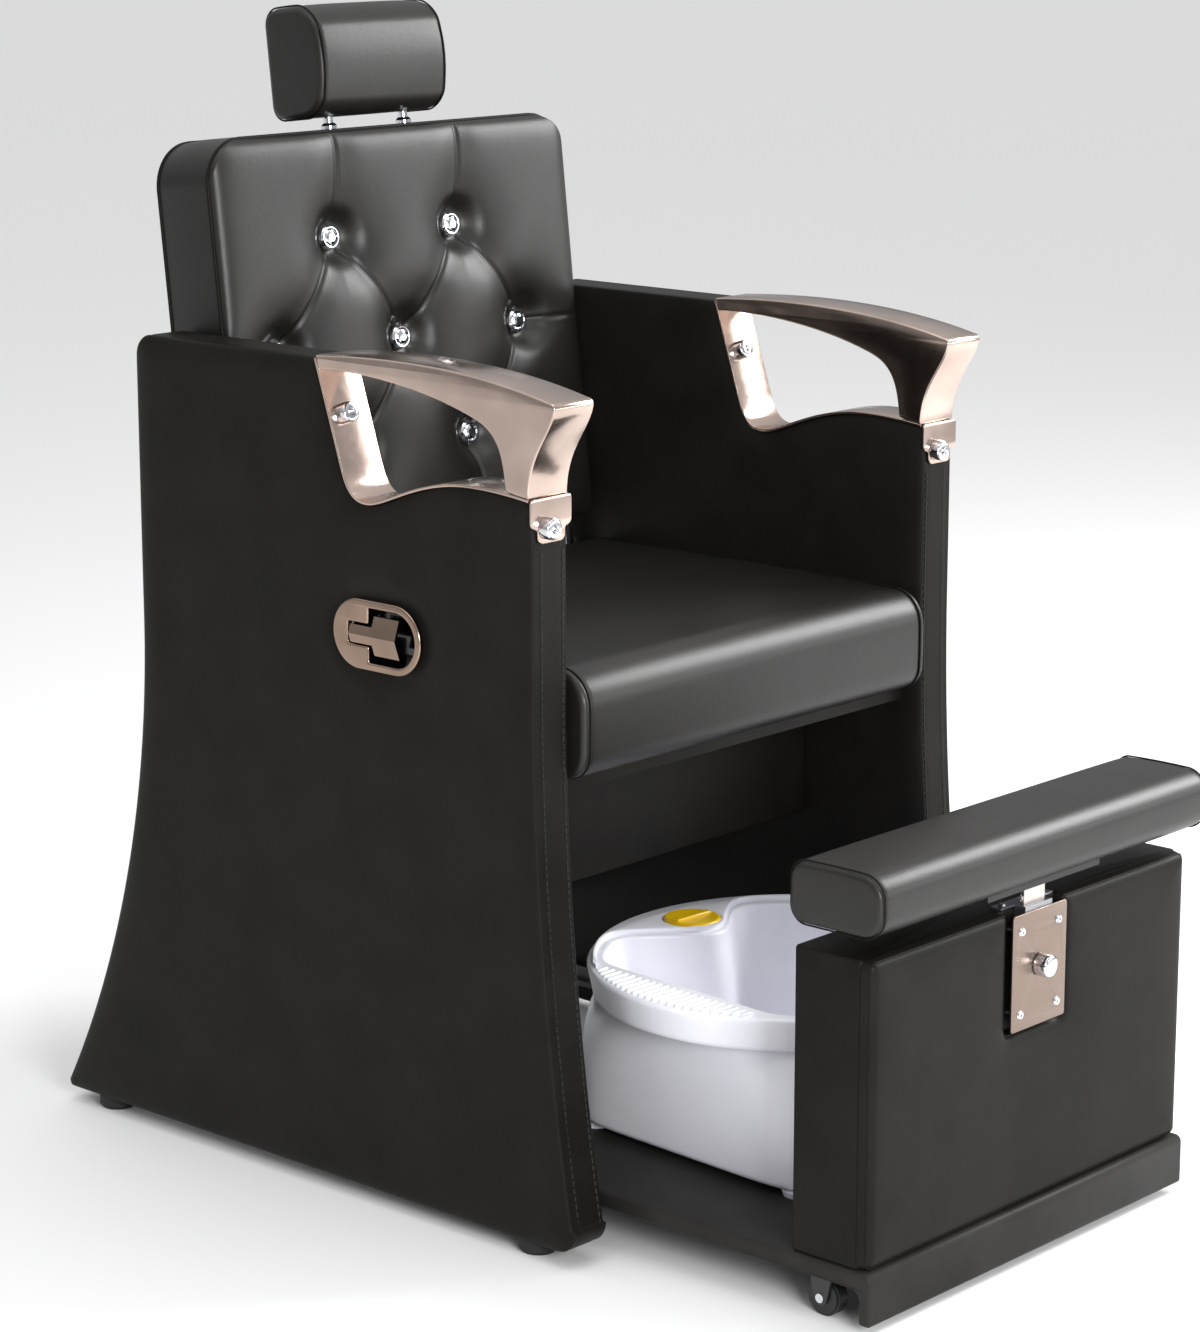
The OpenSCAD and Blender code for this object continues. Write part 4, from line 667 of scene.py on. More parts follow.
def skin(loop, holes, insets, step):
    """A flat skin of triangles inside a loop, less holes: rows of points follow each edge at the given
    distances, and a grid of the given step fills the middle. Returns its points and faces; the points of
    the loop come first and those of each hole follow."""
    edges = [loop, *holes]
    rows = []
    for edge in edges:
        inward = -outward(edge)
        for d in insets:
            row = edge + inward * d
            rows.append(row[near(row, loop) > 0.96 * d] if edge is loop else row)
    lo, hi = loop.min(0), loop.max(0)
    grid = np.stack(np.meshgrid(np.arange(lo[0], hi[0], step), np.arange(lo[1], hi[1], step)), -1)
    grid = grid.reshape(-1, 2)
    grid = grid[inside(grid, loop)]
    deepest = insets[-1] + 0.6 * step
    grid = grid[near(grid, loop) > deepest]
    for hole in holes:
        grid = grid[~inside(grid, hole[::-1])]
        grid = grid[near(grid, hole) > deepest]
    points = np.concatenate(edges + rows + [grid])
    border, first = [], 0
    for edge in edges:
        n = len(edge)
        border += [(first + k, first + (k + 1) % n) for k in range(n)]
        first += n
    verts, _, faces, *_ = delaunay_2d_cdt([Vector(p) for p in points], border, [], 0, 1e-7)
    verts, faces = np.array([tuple(v) for v in verts]), np.array(faces)
    middle = verts[faces].mean(1)
    keep = inside(middle, loop)
    for hole in holes:
        keep &= ~inside(middle, hole[::-1])
    return verts, faces[keep]


def rolled(distance, width, depth):
    """How far a padded face has fallen at a distance from its edge: a quarter of an ellipse."""
    left = np.clip(1 - distance / width, 0, 1)
    return depth * (1 - np.sqrt(1 - left * left))


def side_panel(side):
    """Side panel: two skins inside the flared outline, each rolled over at its edge, and a band between
    them that is crowned between its two seams. The left one has a pocket for the lever's cup, and its
    leather is drawn in round the lever's plate."""
    p = chair().panel
    outer = half_inside() + p.thick
    loop = panel_loop()
    pocket, pocket_deep = stadium(LEVER, 114, 64)[::-1], 30.0
    insets = [1.0, 2.4, 4.4, 7.0, 10.2, 14.0, 18.4, 23.6, 30.0]
    parts = []
    for face, sign, cut in ((outer, side, side < 0), (outer - p.thick, -side, False)):
        flat, faces = skin(loop, [pocket] if cut else [], insets, 9.0)
        away = near(flat, loop)
        drop = rolled(away, p.roll, p.roll_deep)
        waves = 0.5 * np.sin(flat[:, 0] / 61) * np.sin(flat[:, 1] / 83 + 1)
        drop = drop + waves * np.clip(away / 60, 0, 1) ** 2
        if cut:
            rim = near(flat, stadium(LEVER, *LEVER_PLATE))
            drop = drop + 2.6 * np.exp(-(rim / 11) ** 2) * (away > 20)
        x = side * face - sign * drop
        parts.append((xyz(x, *flat.T), [faces]))
        if cut:
            n = len(pocket)
            mouth = xyz(x[len(loop):len(loop) + n], *pocket.T)
            floor = xyz(side * (outer - pocket_deep), *pocket.T)
            parts.append((np.concatenate([mouth, floor]), [quads(2, n), cap(pocket) + n]))
    across = np.linspace(0, 1, 15)
    width = p.thick - 2 * p.roll_deep
    seam_deep, seam_wide = 1.3, 4.0
    sunk = seam_deep * np.exp(-(np.minimum(across, 1 - across) * width / seam_wide) ** 2)
    sunk[[0, -1]] = 0
    out = outward(loop)
    rings = [xyz(side * (outer - p.roll_deep - u * width), *(loop - out * d).T) for u, d in zip(across, sunk)]
    parts.append((np.concatenate(rings), [quads(len(rings), len(loop))]))
    name = "left" if side < 0 else "right"
    make("side_panel_" + name, join(parts), "leather", "chair",
         replaces=["side_cover_" + name], smooth=0, weld=0.02)


def stitches():
    """Sewing thread: short capsules end to end in two rows along each panel's front band, one row beside each
    seam, sunk to half their thickness."""
    p = chair().panel
    outer = half_inside() + p.thick
    reach = 0.34 * p.stitch
    parts = []
    for side in (-1, 1):
        for at in (16.0, p.thick - 9.5):
            for z in np.arange(p.foot + 24, 700, p.stitch):
                ends = np.array([z - reach, z + reach])
                path = xyz(side * (outer - at), -flare(ends, p.flare_top, p.front_flare) + 0.15, ends)
                parts.append(tube(path, 0.9, 6, up=(0, 1, 0)))
    make("panel_stitches", join(parts), "thread", "chair", smooth=60)


# ---------------------------------------------------------------- arms

def arm_loop():
    """The arm's outline: a flat top that sweeps down over the nose to the panel's front shoulder, and an
    underside that returns above the hand. Both end at the strap that slopes up to the panel's top."""
    top = bezier((296, 854), (200, 863), (80, 864), (-25, 840), 40)
    nose = arc((-26, 834), 6, 100, 200, 12)[1:-1]
    front = bezier((-30, 826), (-20, 802), (1, 786), (2, 747.2), 24)
    inner = bezier((31, 752), (36, 788), (40, 806), (77, 817), 24)
    under = bezier((77, 817), (130, 834), (210, 846), (285.5, 841.5), 30)[1:]
    strap_top, strap_under = 283.2, 279.6
    top, under = top[top[:, 0] < strap_top - 2], under[under[:, 0] < strap_under - 2]
    return np.concatenate([[(strap_top, 855.2)], top, nose, front, [(20, 749.2)], inner, under,
                           [(strap_under, 841.7)]])


def armrests():
    """Arms: the outline pressed to the panel's width, with edges rounded to 2 mm."""
    thick, inner = chair().panel.thick, half_inside()
    loop = spaced(turned(arm_loop()), 320, closed=True)
    for side, name in ((-1, "left"), (1, "right")):
        shape = plate([loop], thick, 2.2, lambda r: xyz(side * (inner + r[:, 2]), r[:, 0], r[:, 1]))
        make("arm_" + name, shape, "rose", "chair", replaces=["armrest_" + name], smooth=38)


def straps():
    """Straps: a 3 mm band along the cut edge, and on the panel's front a tab that narrows to a tongue."""
    thick, inner = chair().panel.thick, half_inside()
    strap, bevel, parts = 3.0, 0.9, []
    edge = spaced(cut_edge(), 120)
    along = np.gradient(edge, axis=0)
    up = np.column_stack([-along[:, 1], along[:, 0]])
    up /= np.linalg.norm(up, axis=1, keepdims=True)
    up *= np.sign(up[60, 1])
    band = turned(np.concatenate([edge + up * 0.05, (edge + up * strap)[::-1]]))
    half, neck, top, low, foot = 27.5, 18.5, 747, 718, 704
    tab = rounded_polygon([(-half, top), (-half, low), (-neck, low), (-neck, foot), (neck, foot), (neck, low),
                           (half, low), (half, top)], [3, 7, 3, 7, 7, 3, 7, 3], 8)
    for side in (-1, 1):
        parts.append(plate([band], thick - 0.6, bevel,
                           lambda r: xyz(side * (inner + 0.3 + r[:, 2]), r[:, 0], r[:, 1])))
        parts.append(plate([tab], strap, bevel,
                           lambda r: xyz(side * (inner + thick / 2) + r[:, 0], -r[:, 2], r[:, 1])))
    make("arm_strap_bands", join(parts), "rose", "chair", replaces=["arm_straps"], smooth=38)


def bolts():
    """Arm bolts: lathe-turned cap heads with a round socket, two at each arm. One stands square on the
    strap's slope, the other on the tab at the panel's front."""
    r, h, socket = 10.5, 12, 3.5
    profile = [(0.01, -6), (4, -6), (4, 0), (r - 0.6, 0), (r, 0.6), (r, h - 2.2), (r - 0.4, h - 1.1),
               (r - 1.2, h - 0.4), (r - 2.4, h), (socket + 0.8, h), (socket, h - 0.8), (socket, h - 5),
               (0.01, h - 5.6)]
    tilt = math.radians(71.57)
    up = (797 - 744) / (852 - 744)
    parts = []
    for side in (-1, 1):
        x = side * (half_inside() + chair().panel.thick / 2) - 8
        slope = np.array([0, -math.sin(tilt), math.cos(tilt)])
        seat = np.array([x, 250 + 36 * up, 744 + 108 * up]) + slope * 3
        for base, n in ((seat, slope), (np.array([x, -3.0, 719.0]), np.array([0.0, -1.0, 0.0]))):
            u = np.array([1.0, 0, 0])
            v = np.cross(n, u)
            parts.append(lathe(profile, lambda q: base + q[:, :1] * u + q[:, 1:2] * v + q[:, 2:] * n))
    make("arm_bolt_heads", join(parts), "chrome", "chair", replaces=["arm_bolts"], smooth=38)


def lever_trim():
    """Lever plate: a slot-shaped plate with a window that narrows to a slot for the lever."""
    outer = half_inside() + chair().panel.thick
    window = np.concatenate([
        arc((176, 589), 27, 90, 270, 30), [(210, 562)], arc((210, 564), 2, -90, 0, 4), [(212, 576)],
        arc((214, 576), 2, 180, 90, 4)[1:], arc((238, 580), 2, -90, 0, 4), arc((238, 598), 2, 0, 90, 4),
        arc((214, 602), 2, -90, -180, 4), arc((210, 614), 2, 0, 90, 4)])
    apart = np.linalg.norm(np.diff(window, axis=0), axis=1) > 0.01
    window = turned(window[np.concatenate([[True], apart])], clockwise=True)
    shape = plate([stadium(LEVER, *LEVER_PLATE), window], 4.0, 1.9,
                  lambda r: xyz(-outer - r[:, 2], r[:, 0], r[:, 1]))
    make("lever_surround", shape, "bronze", "chair", replaces=["lever_plate"], smooth=38)


# ---------------------------------------------------------------- soft pieces

def swelled(ring, lo, hi, front, top):
    """A ring pushed out over its front (low first axis) and top (high second axis), most at their middles."""
    u = (2 * ring[:, 0] - lo[0] - hi[0]) / (hi[0] - lo[0])
    v = (2 * ring[:, 1] - lo[1] - hi[1]) / (hi[1] - lo[1])
    return np.column_stack([ring[:, 0] - front * np.clip(-u, 0, None) * (1 - v * v),
                            ring[:, 1] + top * np.clip(v, 0, None) * (1 - u * u)])


def cushion(names, body, node_name, half, lo, hi, radii, swell, ends, seam, welt, welt_swell, count=180,
            place=lambda p: p, crown_across=True):
    """A cushion drawn across the chair, and its piping as a second piece. One section from lo to hi is
    swept in x over twice the half width, with its front and top swelled by the two numbers of swell. Its
    ends round over, and a seam is sunk a little way in from each. The piping is a thin tube of radius
    welt round the section at each seam. place turns x and two section coordinates into points."""
    t = np.linspace(-1, 1, 81)
    rings = []
    for s in np.sign(t) * (1 - (1 - np.abs(t)) ** 1.9):
        left = half - abs(s * half)
        inset = ends * (1 - math.sqrt(max(0.0, 1 - max(0.0, 1 - left / ends) ** 2)))
        sunk, beyond = math.exp(-((left - seam) / 1.6) ** 2), math.exp(-(left - seam) / 22) * (left > seam)
        inset += 1.3 * sunk + 0.7 * beyond
        a, b = np.array(lo) + inset, np.array(hi) - inset
        share = 1 - s ** 6 if crown_across else 1
        ring = box_ring(a, b, [max(1.5, r - inset) for r in radii], count)
        rings.append(xyz(s * half, *swelled(ring, a, b, swell[0], swell[1] * share).T))
    points, faces = shell(np.stack(rings))
    make(names[0], (place(points), faces), "leather_soft", body, replaces=[node_name],
         smooth=0)
    ring = swelled(box_ring(lo, hi, radii, count), lo, hi, *welt_swell)
    parts = [tube(place(xyz(side * (half - seam), *ring.T)), welt, closed=True, up=(1, 0, 0))
             for side in (-1, 1)]
    make(names[1], join(parts), "welt", body, smooth=0)


def seat():
    """Seat cushion: a boxed foam block with a waterfall front and a low crown between welted ends."""
    cushion(("seat_pad", "seat_welts"), "chair", "seat_cushion", half_inside() - 5, (-12, 467),
            (453, 574), [26, 8, 18, 34], swell=(2, 7), ends=7, seam=9, welt=1.0, welt_swell=(1.6, 0.6),
            count=220)


def headrest():
    """Headrest: a small bolster with a swollen front between welted ends."""
    base = chair().back.clear + chair().back.height + 14
    cushion(("headrest_pad", "headrest_welts"), "headrest", "headrest_cushion", 94, (-33, base),
            (40, base + 116), [22, 16, 18, 24], swell=(12, 2), ends=9, seam=6, welt=1.0,
            welt_swell=(10.8, 1.3), place=on_back)


def footrest():
    """Footrest pad: a long bolster with welted ends that lies on its steel bracket, past the box's sides."""
    cushion(("footrest_bolster", "footrest_welts"), "pad", "footrest_pad", half_inside() - BOX_GAP + 10,
            (-368, 381), (-262, 441), [22, 18, 16, 20], swell=(3, 2), ends=8, seam=5, welt=0.9,
            welt_swell=(2.3, 1.3), crown_across=False)


def on_back(p):
    """From the back's own x, depth v behind the hinge line and height s along it, to the chair's frame."""
    b = chair().back
    x, v, s = p.T
    c, d = math.cos(math.radians(b.lean)), math.sin(math.radians(b.lean))
    return xyz(x, b.hinge_y + v * c + s * d, b.hinge_z - v * d + s * c)


def buttons():
    """Places of the buttons: rows of two, three and two."""
    b = chair().back
    return np.array([(x * b.button_dx, b.button_s0 + row * b.button_ds)
                     for row, xs in enumerate(((-1, 1), (-2, 0, 2), (-1, 1))) for x in xs])


def pleats(low, high, half):
    """The pleats as straight lines in the plane of the seam: between neighbouring buttons, from the outer
    rows to the upper and lower edges, and from the two end buttons to the sides."""
    b = chair().back
    places = buttons()
    lines = []
    for k, p in enumerate(places):
        for q in places[k + 1:]:
            if abs(abs(p[0] - q[0]) - b.button_dx) < 1 and abs(abs(p[1] - q[1]) - b.button_ds) < 1:
                lines.append((p, q))
    lowest, highest = places[:, 1].min(), places[:, 1].max()
    for p in places:
        if p[1] in (lowest, highest):
            lines.append((p, (p[0], high if p[1] == highest else low)))
        elif abs(p[0]) > b.button_dx:
            lines.append((p, (math.copysign(half, p[0]), p[1])))
    return lines


def tufted(x, s, half, low, high):
    """Height of the tufted face in front of its seam: a padded field with pits at the buttons and pleats
    between them. Each pleat is a narrow crease in a broad valley, deepest near its buttons."""
    b = chair().back
    u, v = np.abs(x) / half, np.abs(s - (low + high) / 2) / ((high - low) / 2)
    edge = np.sqrt(np.clip(1 - u ** 20, 0, 1)) * np.sqrt(np.clip(1 - v ** 18, 0, 1))
    left, far = 1.0, 1.0
    for place_x, place_s in buttons():
        pit = np.clip(np.hypot(x - place_x, s - place_s) - b.button / 2, 0, None)
        left = left * (1 - 0.62 * np.exp(-(pit / 14) ** 2) - 0.38 * np.exp(-(pit / 40) ** 2))
        far = far * (1 - np.exp(-(pit / 50) ** 2))
    pull, soft = 1 - left, 1 - far
    flat = np.stack([x.ravel(), s.ravel()], -1)
    gaps = [near(flat, np.array(line), closed=False) for line in pleats(low, high, half)]
    gap = np.min(gaps, axis=0).reshape(x.shape)
    broad = 5.5 * np.exp(-(gap / 21) ** 2) * (0.35 + 0.65 * soft)
    crease = 2.7 * np.exp(-(gap / 2.5) ** 2) * (0.7 + 0.3 * soft) * np.clip(edge, 0, 1)
    return edge * (b.crown - broad * (1 - pull)) - (b.crown * edge + b.tuft) * pull - crease


def back():
    """Back upholstery: the tufted front as a fine grid whose rows narrow round the corners, the boxed sides
    as rings round it, slightly bowed between their seams, and a plain padded rear."""
    b = chair().back
    half, low, high = b.width / 2, b.clear + 1, b.clear + b.height - 1
    r_low, r_high = 23.0, 46.0
    nx, ns = 300, 262
    t = np.linspace(0, 1, ns + 1)
    rows = low + (high - low) * (0.55 * t + 0.45 * (1 - np.cos(t * math.pi)) / 2)
    down, up = np.clip(low + r_low - rows, 0, r_low), np.clip(rows - high + r_high, 0, r_high)
    half_at = half - r_low + np.sqrt(r_low ** 2 - down ** 2) - r_high + np.sqrt(r_high ** 2 - up ** 2)
    t = np.linspace(-1, 1, nx + 1)
    x = (0.62 * t + 0.38 * np.sin(t * math.pi / 2))[None] * half_at[:, None]
    s = np.repeat(rows[:, None], nx + 1, 1)
    grid = xyz(x, -b.reach - tufted(x, s, half + 0.01, low - 0.01, high + 0.01), s).reshape(-1, 3)
    w = nx + 1
    loop = np.concatenate([np.arange(nx), np.arange(ns) * w + nx, ns * w + np.arange(nx, 0, -1),
                           np.arange(ns, 0, -1) * w])
    flat = grid[loop][:, [0, 2]]
    out = outward(flat)

    def behind(line, depth):
        """A line in the plane of the seam, set a depth behind it."""
        return xyz(line[:, 0], -b.reach + depth, line[:, 1])
    depth = np.array([0.0, 1.5, 4, 9, 18, 32, 46, 60, 69, 74, 76.5, 78]) * b.deep / 78
    bow = 2.4 * np.sin(np.clip(depth / b.deep, 0, 1) * math.pi) ** 0.8
    bow[0], bow[1], bow[-1] = 0, 0.2, -1.5
    rings = [behind(flat + out * k, d) for d, k in zip(depth, bow)]
    middle = np.array([0, (low + high) / 2])
    away = flat - middle
    size = np.linalg.norm(away, axis=1, keepdims=True)
    for inset, d in ((4, 78.8), (12, 79.6), (30, 80.0), (90, 80.0)):
        rings.append(behind(middle + away * (1 - inset / size), d * b.deep / 78))
    points = np.concatenate([grid, *rings[1:], behind(middle[None], 80.0 * b.deep / 78)])
    n, first = len(loop), len(grid)
    turn = np.arange(n)
    ahead = (turn + 1) % n
    faces = [quads(ns + 1, w, wrap=False), np.stack([loop, loop[ahead], first + ahead, first + turn], -1),
             quads(len(rings) - 1, n, first=first), fan(first + (len(rings) - 2) * n + turn, len(points) - 1)]
    make("back_upholstery", (on_back(points), faces), "leather_soft", "backrest",
         replaces=["back_cushion", "back_core"], smooth=0)
    seam = spaced(flat + out * 0.6, 420, closed=True)
    welts = [tube(on_back(behind(seam, d)), r, closed=True, up=(0, 1, 0))
             for d, r in ((0.6, 1.9), (b.deep - 1.5, 1.7))]
    make("back_welts", join(welts), "welt", "backrest", smooth=0)


def gems():
    """Button faces: in each rim a cut stone with a flat table, two rows of crown facets and a girdle."""
    b = chair().back
    parts, sides = [], 16
    for x, s in buttons():
        rings = []
        for radius, height, turn in ((9.9, 2.0, 0.0), (9.9, 3.4, 0.0), (7.2, 5.6, 0.5), (4.6, 6.6, 0.0)):
            a = (np.arange(sides) + turn) * 2 * math.pi / sides
            rings.append(xyz(x + radius * np.cos(a), -b.reach + b.tuft - height, s + radius * np.sin(a)))
        points, faces = shell(np.stack(rings))
        parts.append((on_back(points), faces))
    make("button_stones", join(parts), "gem", "backrest", replaces=["button_crystals"], smooth=1)


# ---------------------------------------------------------------- footrest box and tray

def box_front():
    """Front pad of the box: a skin inside a rounded outline whose face swells away from its edges and rolls
    down into a notch round the lock plate."""
    half, notch, notch_low = half_inside() - BOX_GAP, 44, 238
    loop = rounded_polygon([(-half, BOX_LOW), (half, BOX_LOW), (half, BOX_TOP), (notch, BOX_TOP),
                            (notch, notch_low), (-notch, notch_low), (-notch, BOX_TOP), (-half, BOX_TOP)],
                           [9, 9, 9, 4, 5, 5, 4, 9], 10)
    loop = spaced(loop, 620, closed=True)
    flat, faces = skin(loop, [], [0.8, 2.0, 4.0, 7.0, 11.0, 16.0, 22.0], 9.0)
    away = near(flat, loop)
    swell = 12 * np.sqrt(1 - np.clip(1 - away / 9, 0, 1) ** 2) + 3.4 * (1 - np.exp(-away / 26))
    n, x, z = len(loop), *loop.T
    rear = np.concatenate([xyz(x, BOX_FRONT, z), xyz(x, BOX_FRONT + 1, z)])
    face = xyz(flat[:, 0], BOX_FRONT - swell, flat[:, 1])
    shape = join([(face, [faces]), (rear, [quads(2, n), cap(loop) + n])])
    make("box_front_pad", shape, "leather", "tray", replaces=["footrest_front"],
         smooth=0, weld=0.02)
    x, z = (loop - outward(loop) * 2.4).T
    make("box_front_piping", tube(xyz(x, BOX_FRONT - 8, z), 1.0, closed=True, up=(0, 1, 0)), "welt", "tray",
         smooth=0)


def boxes():
    """Leather-covered boards: the footrest box, the apron under the seat and the rear stretcher."""
    inner = half_inside()
    half = inner - BOX_GAP
    for name, node_name, lo, hi, count, look, body, slot, fill in (
            ("box_cover", "footrest_box", (-half, BOX_FRONT, BOX_LOW), (half, -262, BOX_TOP), 6,
             "leather", "tray", "black_leather", 1.0),
            ("apron_cover", "apron", (-inner, 150, 304), (inner, 168, 452), 5,
             "leather", "chair", "black_leather", 1.0),
            ("rear_stretcher_cover", "rear_stretcher", (-inner, 533, 142), (inner, 551, 262), 5,
             "leather_board", "chair", "black_board", None)):
        make(name, rounded_box(lo, hi, 4, count), look, body, replaces=[node_name],
             smooth=50)


def platform():
    """Tray: one board wrapped in leather that turns down at the front into a skirt, with a round edge
    between the two."""
    half = half_inside() - TRAY_GAP
    section = rounded_polygon([(-358, 9), (-344, 9), (-344, 42), (150, 42), (150, 60), (-358, 60)],
                              [4, 4, 10, 4, 5, 7], 10)
    section = spaced(section, 420, closed=True)
    out = outward(section)
    rings = [xyz(x, *(section - out * inset).T) for x, inset in (
        (-half, 3.0), (-half + 0.9, 1.2), (-half + 3.0, 0.0), (half - 3.0, 0.0), (half - 0.9, 1.2),
        (half, 3.0))]
    n, ends = len(section), cap(section)
    shape = np.concatenate(rings), [quads(len(rings), n), ends, ends + (len(rings) - 1) * n]
    make("tray_platform", shape, "leather_board", "tray", replaces=["tray_deck", "tray_skirt"])


def lock():
    """Lock plate: a brushed plate with round corners in the notch of the box, under its turned knob."""
    outline = rounded_polygon(corners_of((-43, 240), (43, 355)), [3, 3, 3, 3], 6)
    holes = [arc((x, z), 2.0, 360, 0, 17)[:-1] for x in (-29.5, 29.5) for z in (256, 338)]
    knob_z = 300
    holes.append(arc((0, knob_z), 5.4, 360, 0, 25)[:-1])
    shape = plate([outline, *holes], 2.5, 0.7, lambda r: xyz(r[:, 0], BOX_FRONT - 14 - r[:, 2], r[:, 1]))
    make("lock_cover", shape, "rose_satin", "tray", replaces=["lock_plate"], smooth=38)
    profile = [(0.01, 2), (4, 2), (4, 0), (10.4, -0.3), (11, -0.9), (11, -12.6), (10.4, -13.8), (9.2, -14.6),
               (6.0, -15.2), (0.01, -15.4)]
    shape = lathe(profile, lambda q: xyz(q[:, 0], BOX_FRONT - 16.5 + q[:, 2], knob_z + q[:, 1]))
    make("lock_knob_turned", shape, "chrome", "knob", replaces=["lock_knob"], smooth=38)


# ---------------------------------------------------------------- basin

def in_basin(p):
    """From the basin's own frame to the chair's: it stands a little to one side and slightly turned."""
    b = chair().basin
    a = -math.radians(b.turn)
    return xyz(b.x + p[:, 0] * math.cos(a) - p[:, 1] * math.sin(a),
               -b.y + p[:, 0] * math.sin(a) + p[:, 1] * math.cos(a), p[:, 2])


def oval(a, b, power, count=256):
    """A superellipse: half-widths a and b, with power 2 for an ellipse and more for a rounded box."""
    t = np.linspace(0, 2 * math.pi, count, endpoint=False)
    return np.column_stack([size * np.sign(u) * np.abs(u) ** (2 / power)
                            for size, u in ((a, np.cos(t)), (b, np.sin(t)))])


def basin_shell():
    """Basin shell: superellipse rings that turn from a rounded box at the foot into an oval at the waist,
    and spread from there to just inside the rim. Its inner skin is the same, a little smaller."""
    b = chair().basin
    foot_z, waist_z, foot_round = 66, 207, 6
    rings = []
    for share in np.linspace(0, 1, 40):
        z = foot_z + (waist_z - foot_z) * share
        under = foot_round * (1 - math.sqrt(1 - max(0.0, 1 - (z - foot_z) / foot_round) ** 2))
        ring = oval((322 + share * 22) / 2 - under, (330 + share * 48) / 2 - under, 8 - 5.5 * share)
        rings.append(xyz(*ring.T, z))
    waist_w, waist_d = 344, 378
    for share in np.linspace(0.1, 1, 8):
        ring = oval((waist_w + share * (b.rim_w - 14 - waist_w)) / 2,
                    (waist_d + share * (b.rim_d - 14 - waist_d)) / 2, 2.5 - 0.48 * share)
        rings.append(xyz(*ring.T, waist_z + share * 29))
    outer = np.stack(rings)
    inner = outer[::-1] * [0.982, 0.982, 1.0]
    inner[:, :, 2] = np.maximum(inner[:, :, 2], foot_z + 3)
    points, faces = shell(np.concatenate([outer, inner]))
    make("basin_body", (in_basin(points), faces), "white", "basin", replaces=["basin_shell"],
         smooth=50)


def dial_centre():
    """The dial's place on the basin."""
    return np.array([9.0, chair().basin.rim_d / 2 - 54])


def housing_loop():
    """The control housing's outline: a round end in front of the dial and sides that spread to the rim."""
    b = chair().basin
    spread = math.radians(b.spread)
    reach = b.rim_d / 2 * np.array([math.sin(spread), math.cos(spread)])
    end = arc(dial_centre(), b.lobe / 2, 180 + b.spread, 360 - b.spread, 60)
    return np.concatenate([end, [end[-1] + reach], [end[0] + (-reach[0], reach[1])]])


def rim_share(ray, inset):
    """How far out points lie in the oval of the rim, less an inset: 0 at its middle and 1 at its edge."""
    b = chair().basin
    return (ray[..., 0] / (b.rim_w / 2 - inset)) ** 2 + (ray[..., 1] / (b.rim_d / 2 - inset)) ** 2


def cast(low, high, step):
    """Distances from the well's middle, and the points that lie so far along every ray."""
    steps = np.arange(low, high, step)
    return steps, WELL + steps[:, None, None] * heading(RAYS)


def rim_reach(inset=0.0):
    """Distance from the well's middle to the rim along each ray, less an inset."""
    steps, ray = cast(100, 260, 0.25)
    return steps[np.argmax(rim_share(ray, inset) > 1, axis=0)]


def well_reach():
    """Distance from the well's middle to its edge along each ray: the inset rim, the two ledges and the
    housing, whichever comes first, with the corners eased by a bell of 3.2 degrees."""
    steps, ray = cast(20, 230, 0.5)
    room = (rim_share(ray, 14) < 1) & (np.abs(ray[..., 0]) < chair().basin.well_x)
    room &= ~inside(ray.reshape(-1, 2), housing_loop()).reshape(room.shape)
    n = len(RAYS)
    bell = np.exp(-0.5 * (np.arange(-n // 2, n // 2) * 360 / n / 3.2) ** 2)
    bell = np.roll(bell / bell.sum(), -(n // 2))
    return np.real(np.fft.ifft(np.fft.fft(steps[np.argmin(room, axis=0)]) * np.fft.fft(bell)))


def basin_tub():
    """Basin tub: rays from a point in the well run over its floor, climb its wall, cross the rim, turn down
    the skirt and come back underneath. Ribs stand on the two ledges."""
    b = chair().basin
    well, rim = well_reach(), rim_reach()
    floor = 0.78 * well
    low, lip, top = 82, 235.5, 240
    turn, quarter = np.radians(np.arange(10, 75, 10)), np.radians(np.arange(15, 91, 15))
    levels = [(floor * t - 10 * t, low) for t in np.linspace(0.04, 1, 14)]
    levels += [(floor - 10 + 11 * np.sin(a), low + 10 * (1 - np.cos(a))) for a in turn]
    r, z = levels[-1]
    levels += [(r + (well - 4 - r) * t, z + (lip - z) * t) for t in np.linspace(0.08, 1, 14)]
    levels += [(well - 4 + 4.5 * (1 - np.cos(a)), lip + 4.5 * np.sin(a)) for a in quarter]
    r = levels[-1][0]
    levels += [(r + (rim - 4 - r) * t, top) for t in np.linspace(0.1, 1, 10)]
    levels += [(rim - 4 + 4 * np.sin(a), top - 4 + 4 * np.cos(a)) for a in quarter]
    levels += [(rim - 6 * t, top - 4 - 29 * t) for t in np.linspace(0.1, 1, 8)]
    levels += [(rim - 7.0, 206.2), (rim - 8.4, 206.6), (rim - 3.2, 235.6), (well + 6, 235.6),
               (floor + 8, 78.0)]
    way = heading(RAYS)
    parts = [shell(np.stack([xyz(*(WELL + way * r[:, None]).T, z) for r, z in levels]))]
    for k in np.arange(-20, 21):
        y = (k + 0.5) * b.rib
        end = b.rim_w / 2 * math.sqrt(max(0.0, 1 - (y / (b.rim_d / 2)) ** 2)) - 5
        if end < b.well_x + 22:
            continue
        for side in (-1, 1):
            x = sorted((side * (b.well_x + 12), side * end))
            parts.append(rounded_box((x[0], y - 2.6, top - 3), (x[1], y + 2.6, top + 2.6), 1.4, 3))
    points, faces = join(parts)
    make("basin_top", (in_basin(points), faces), "white", "basin", replaces=["basin_tub"],
         smooth=50)


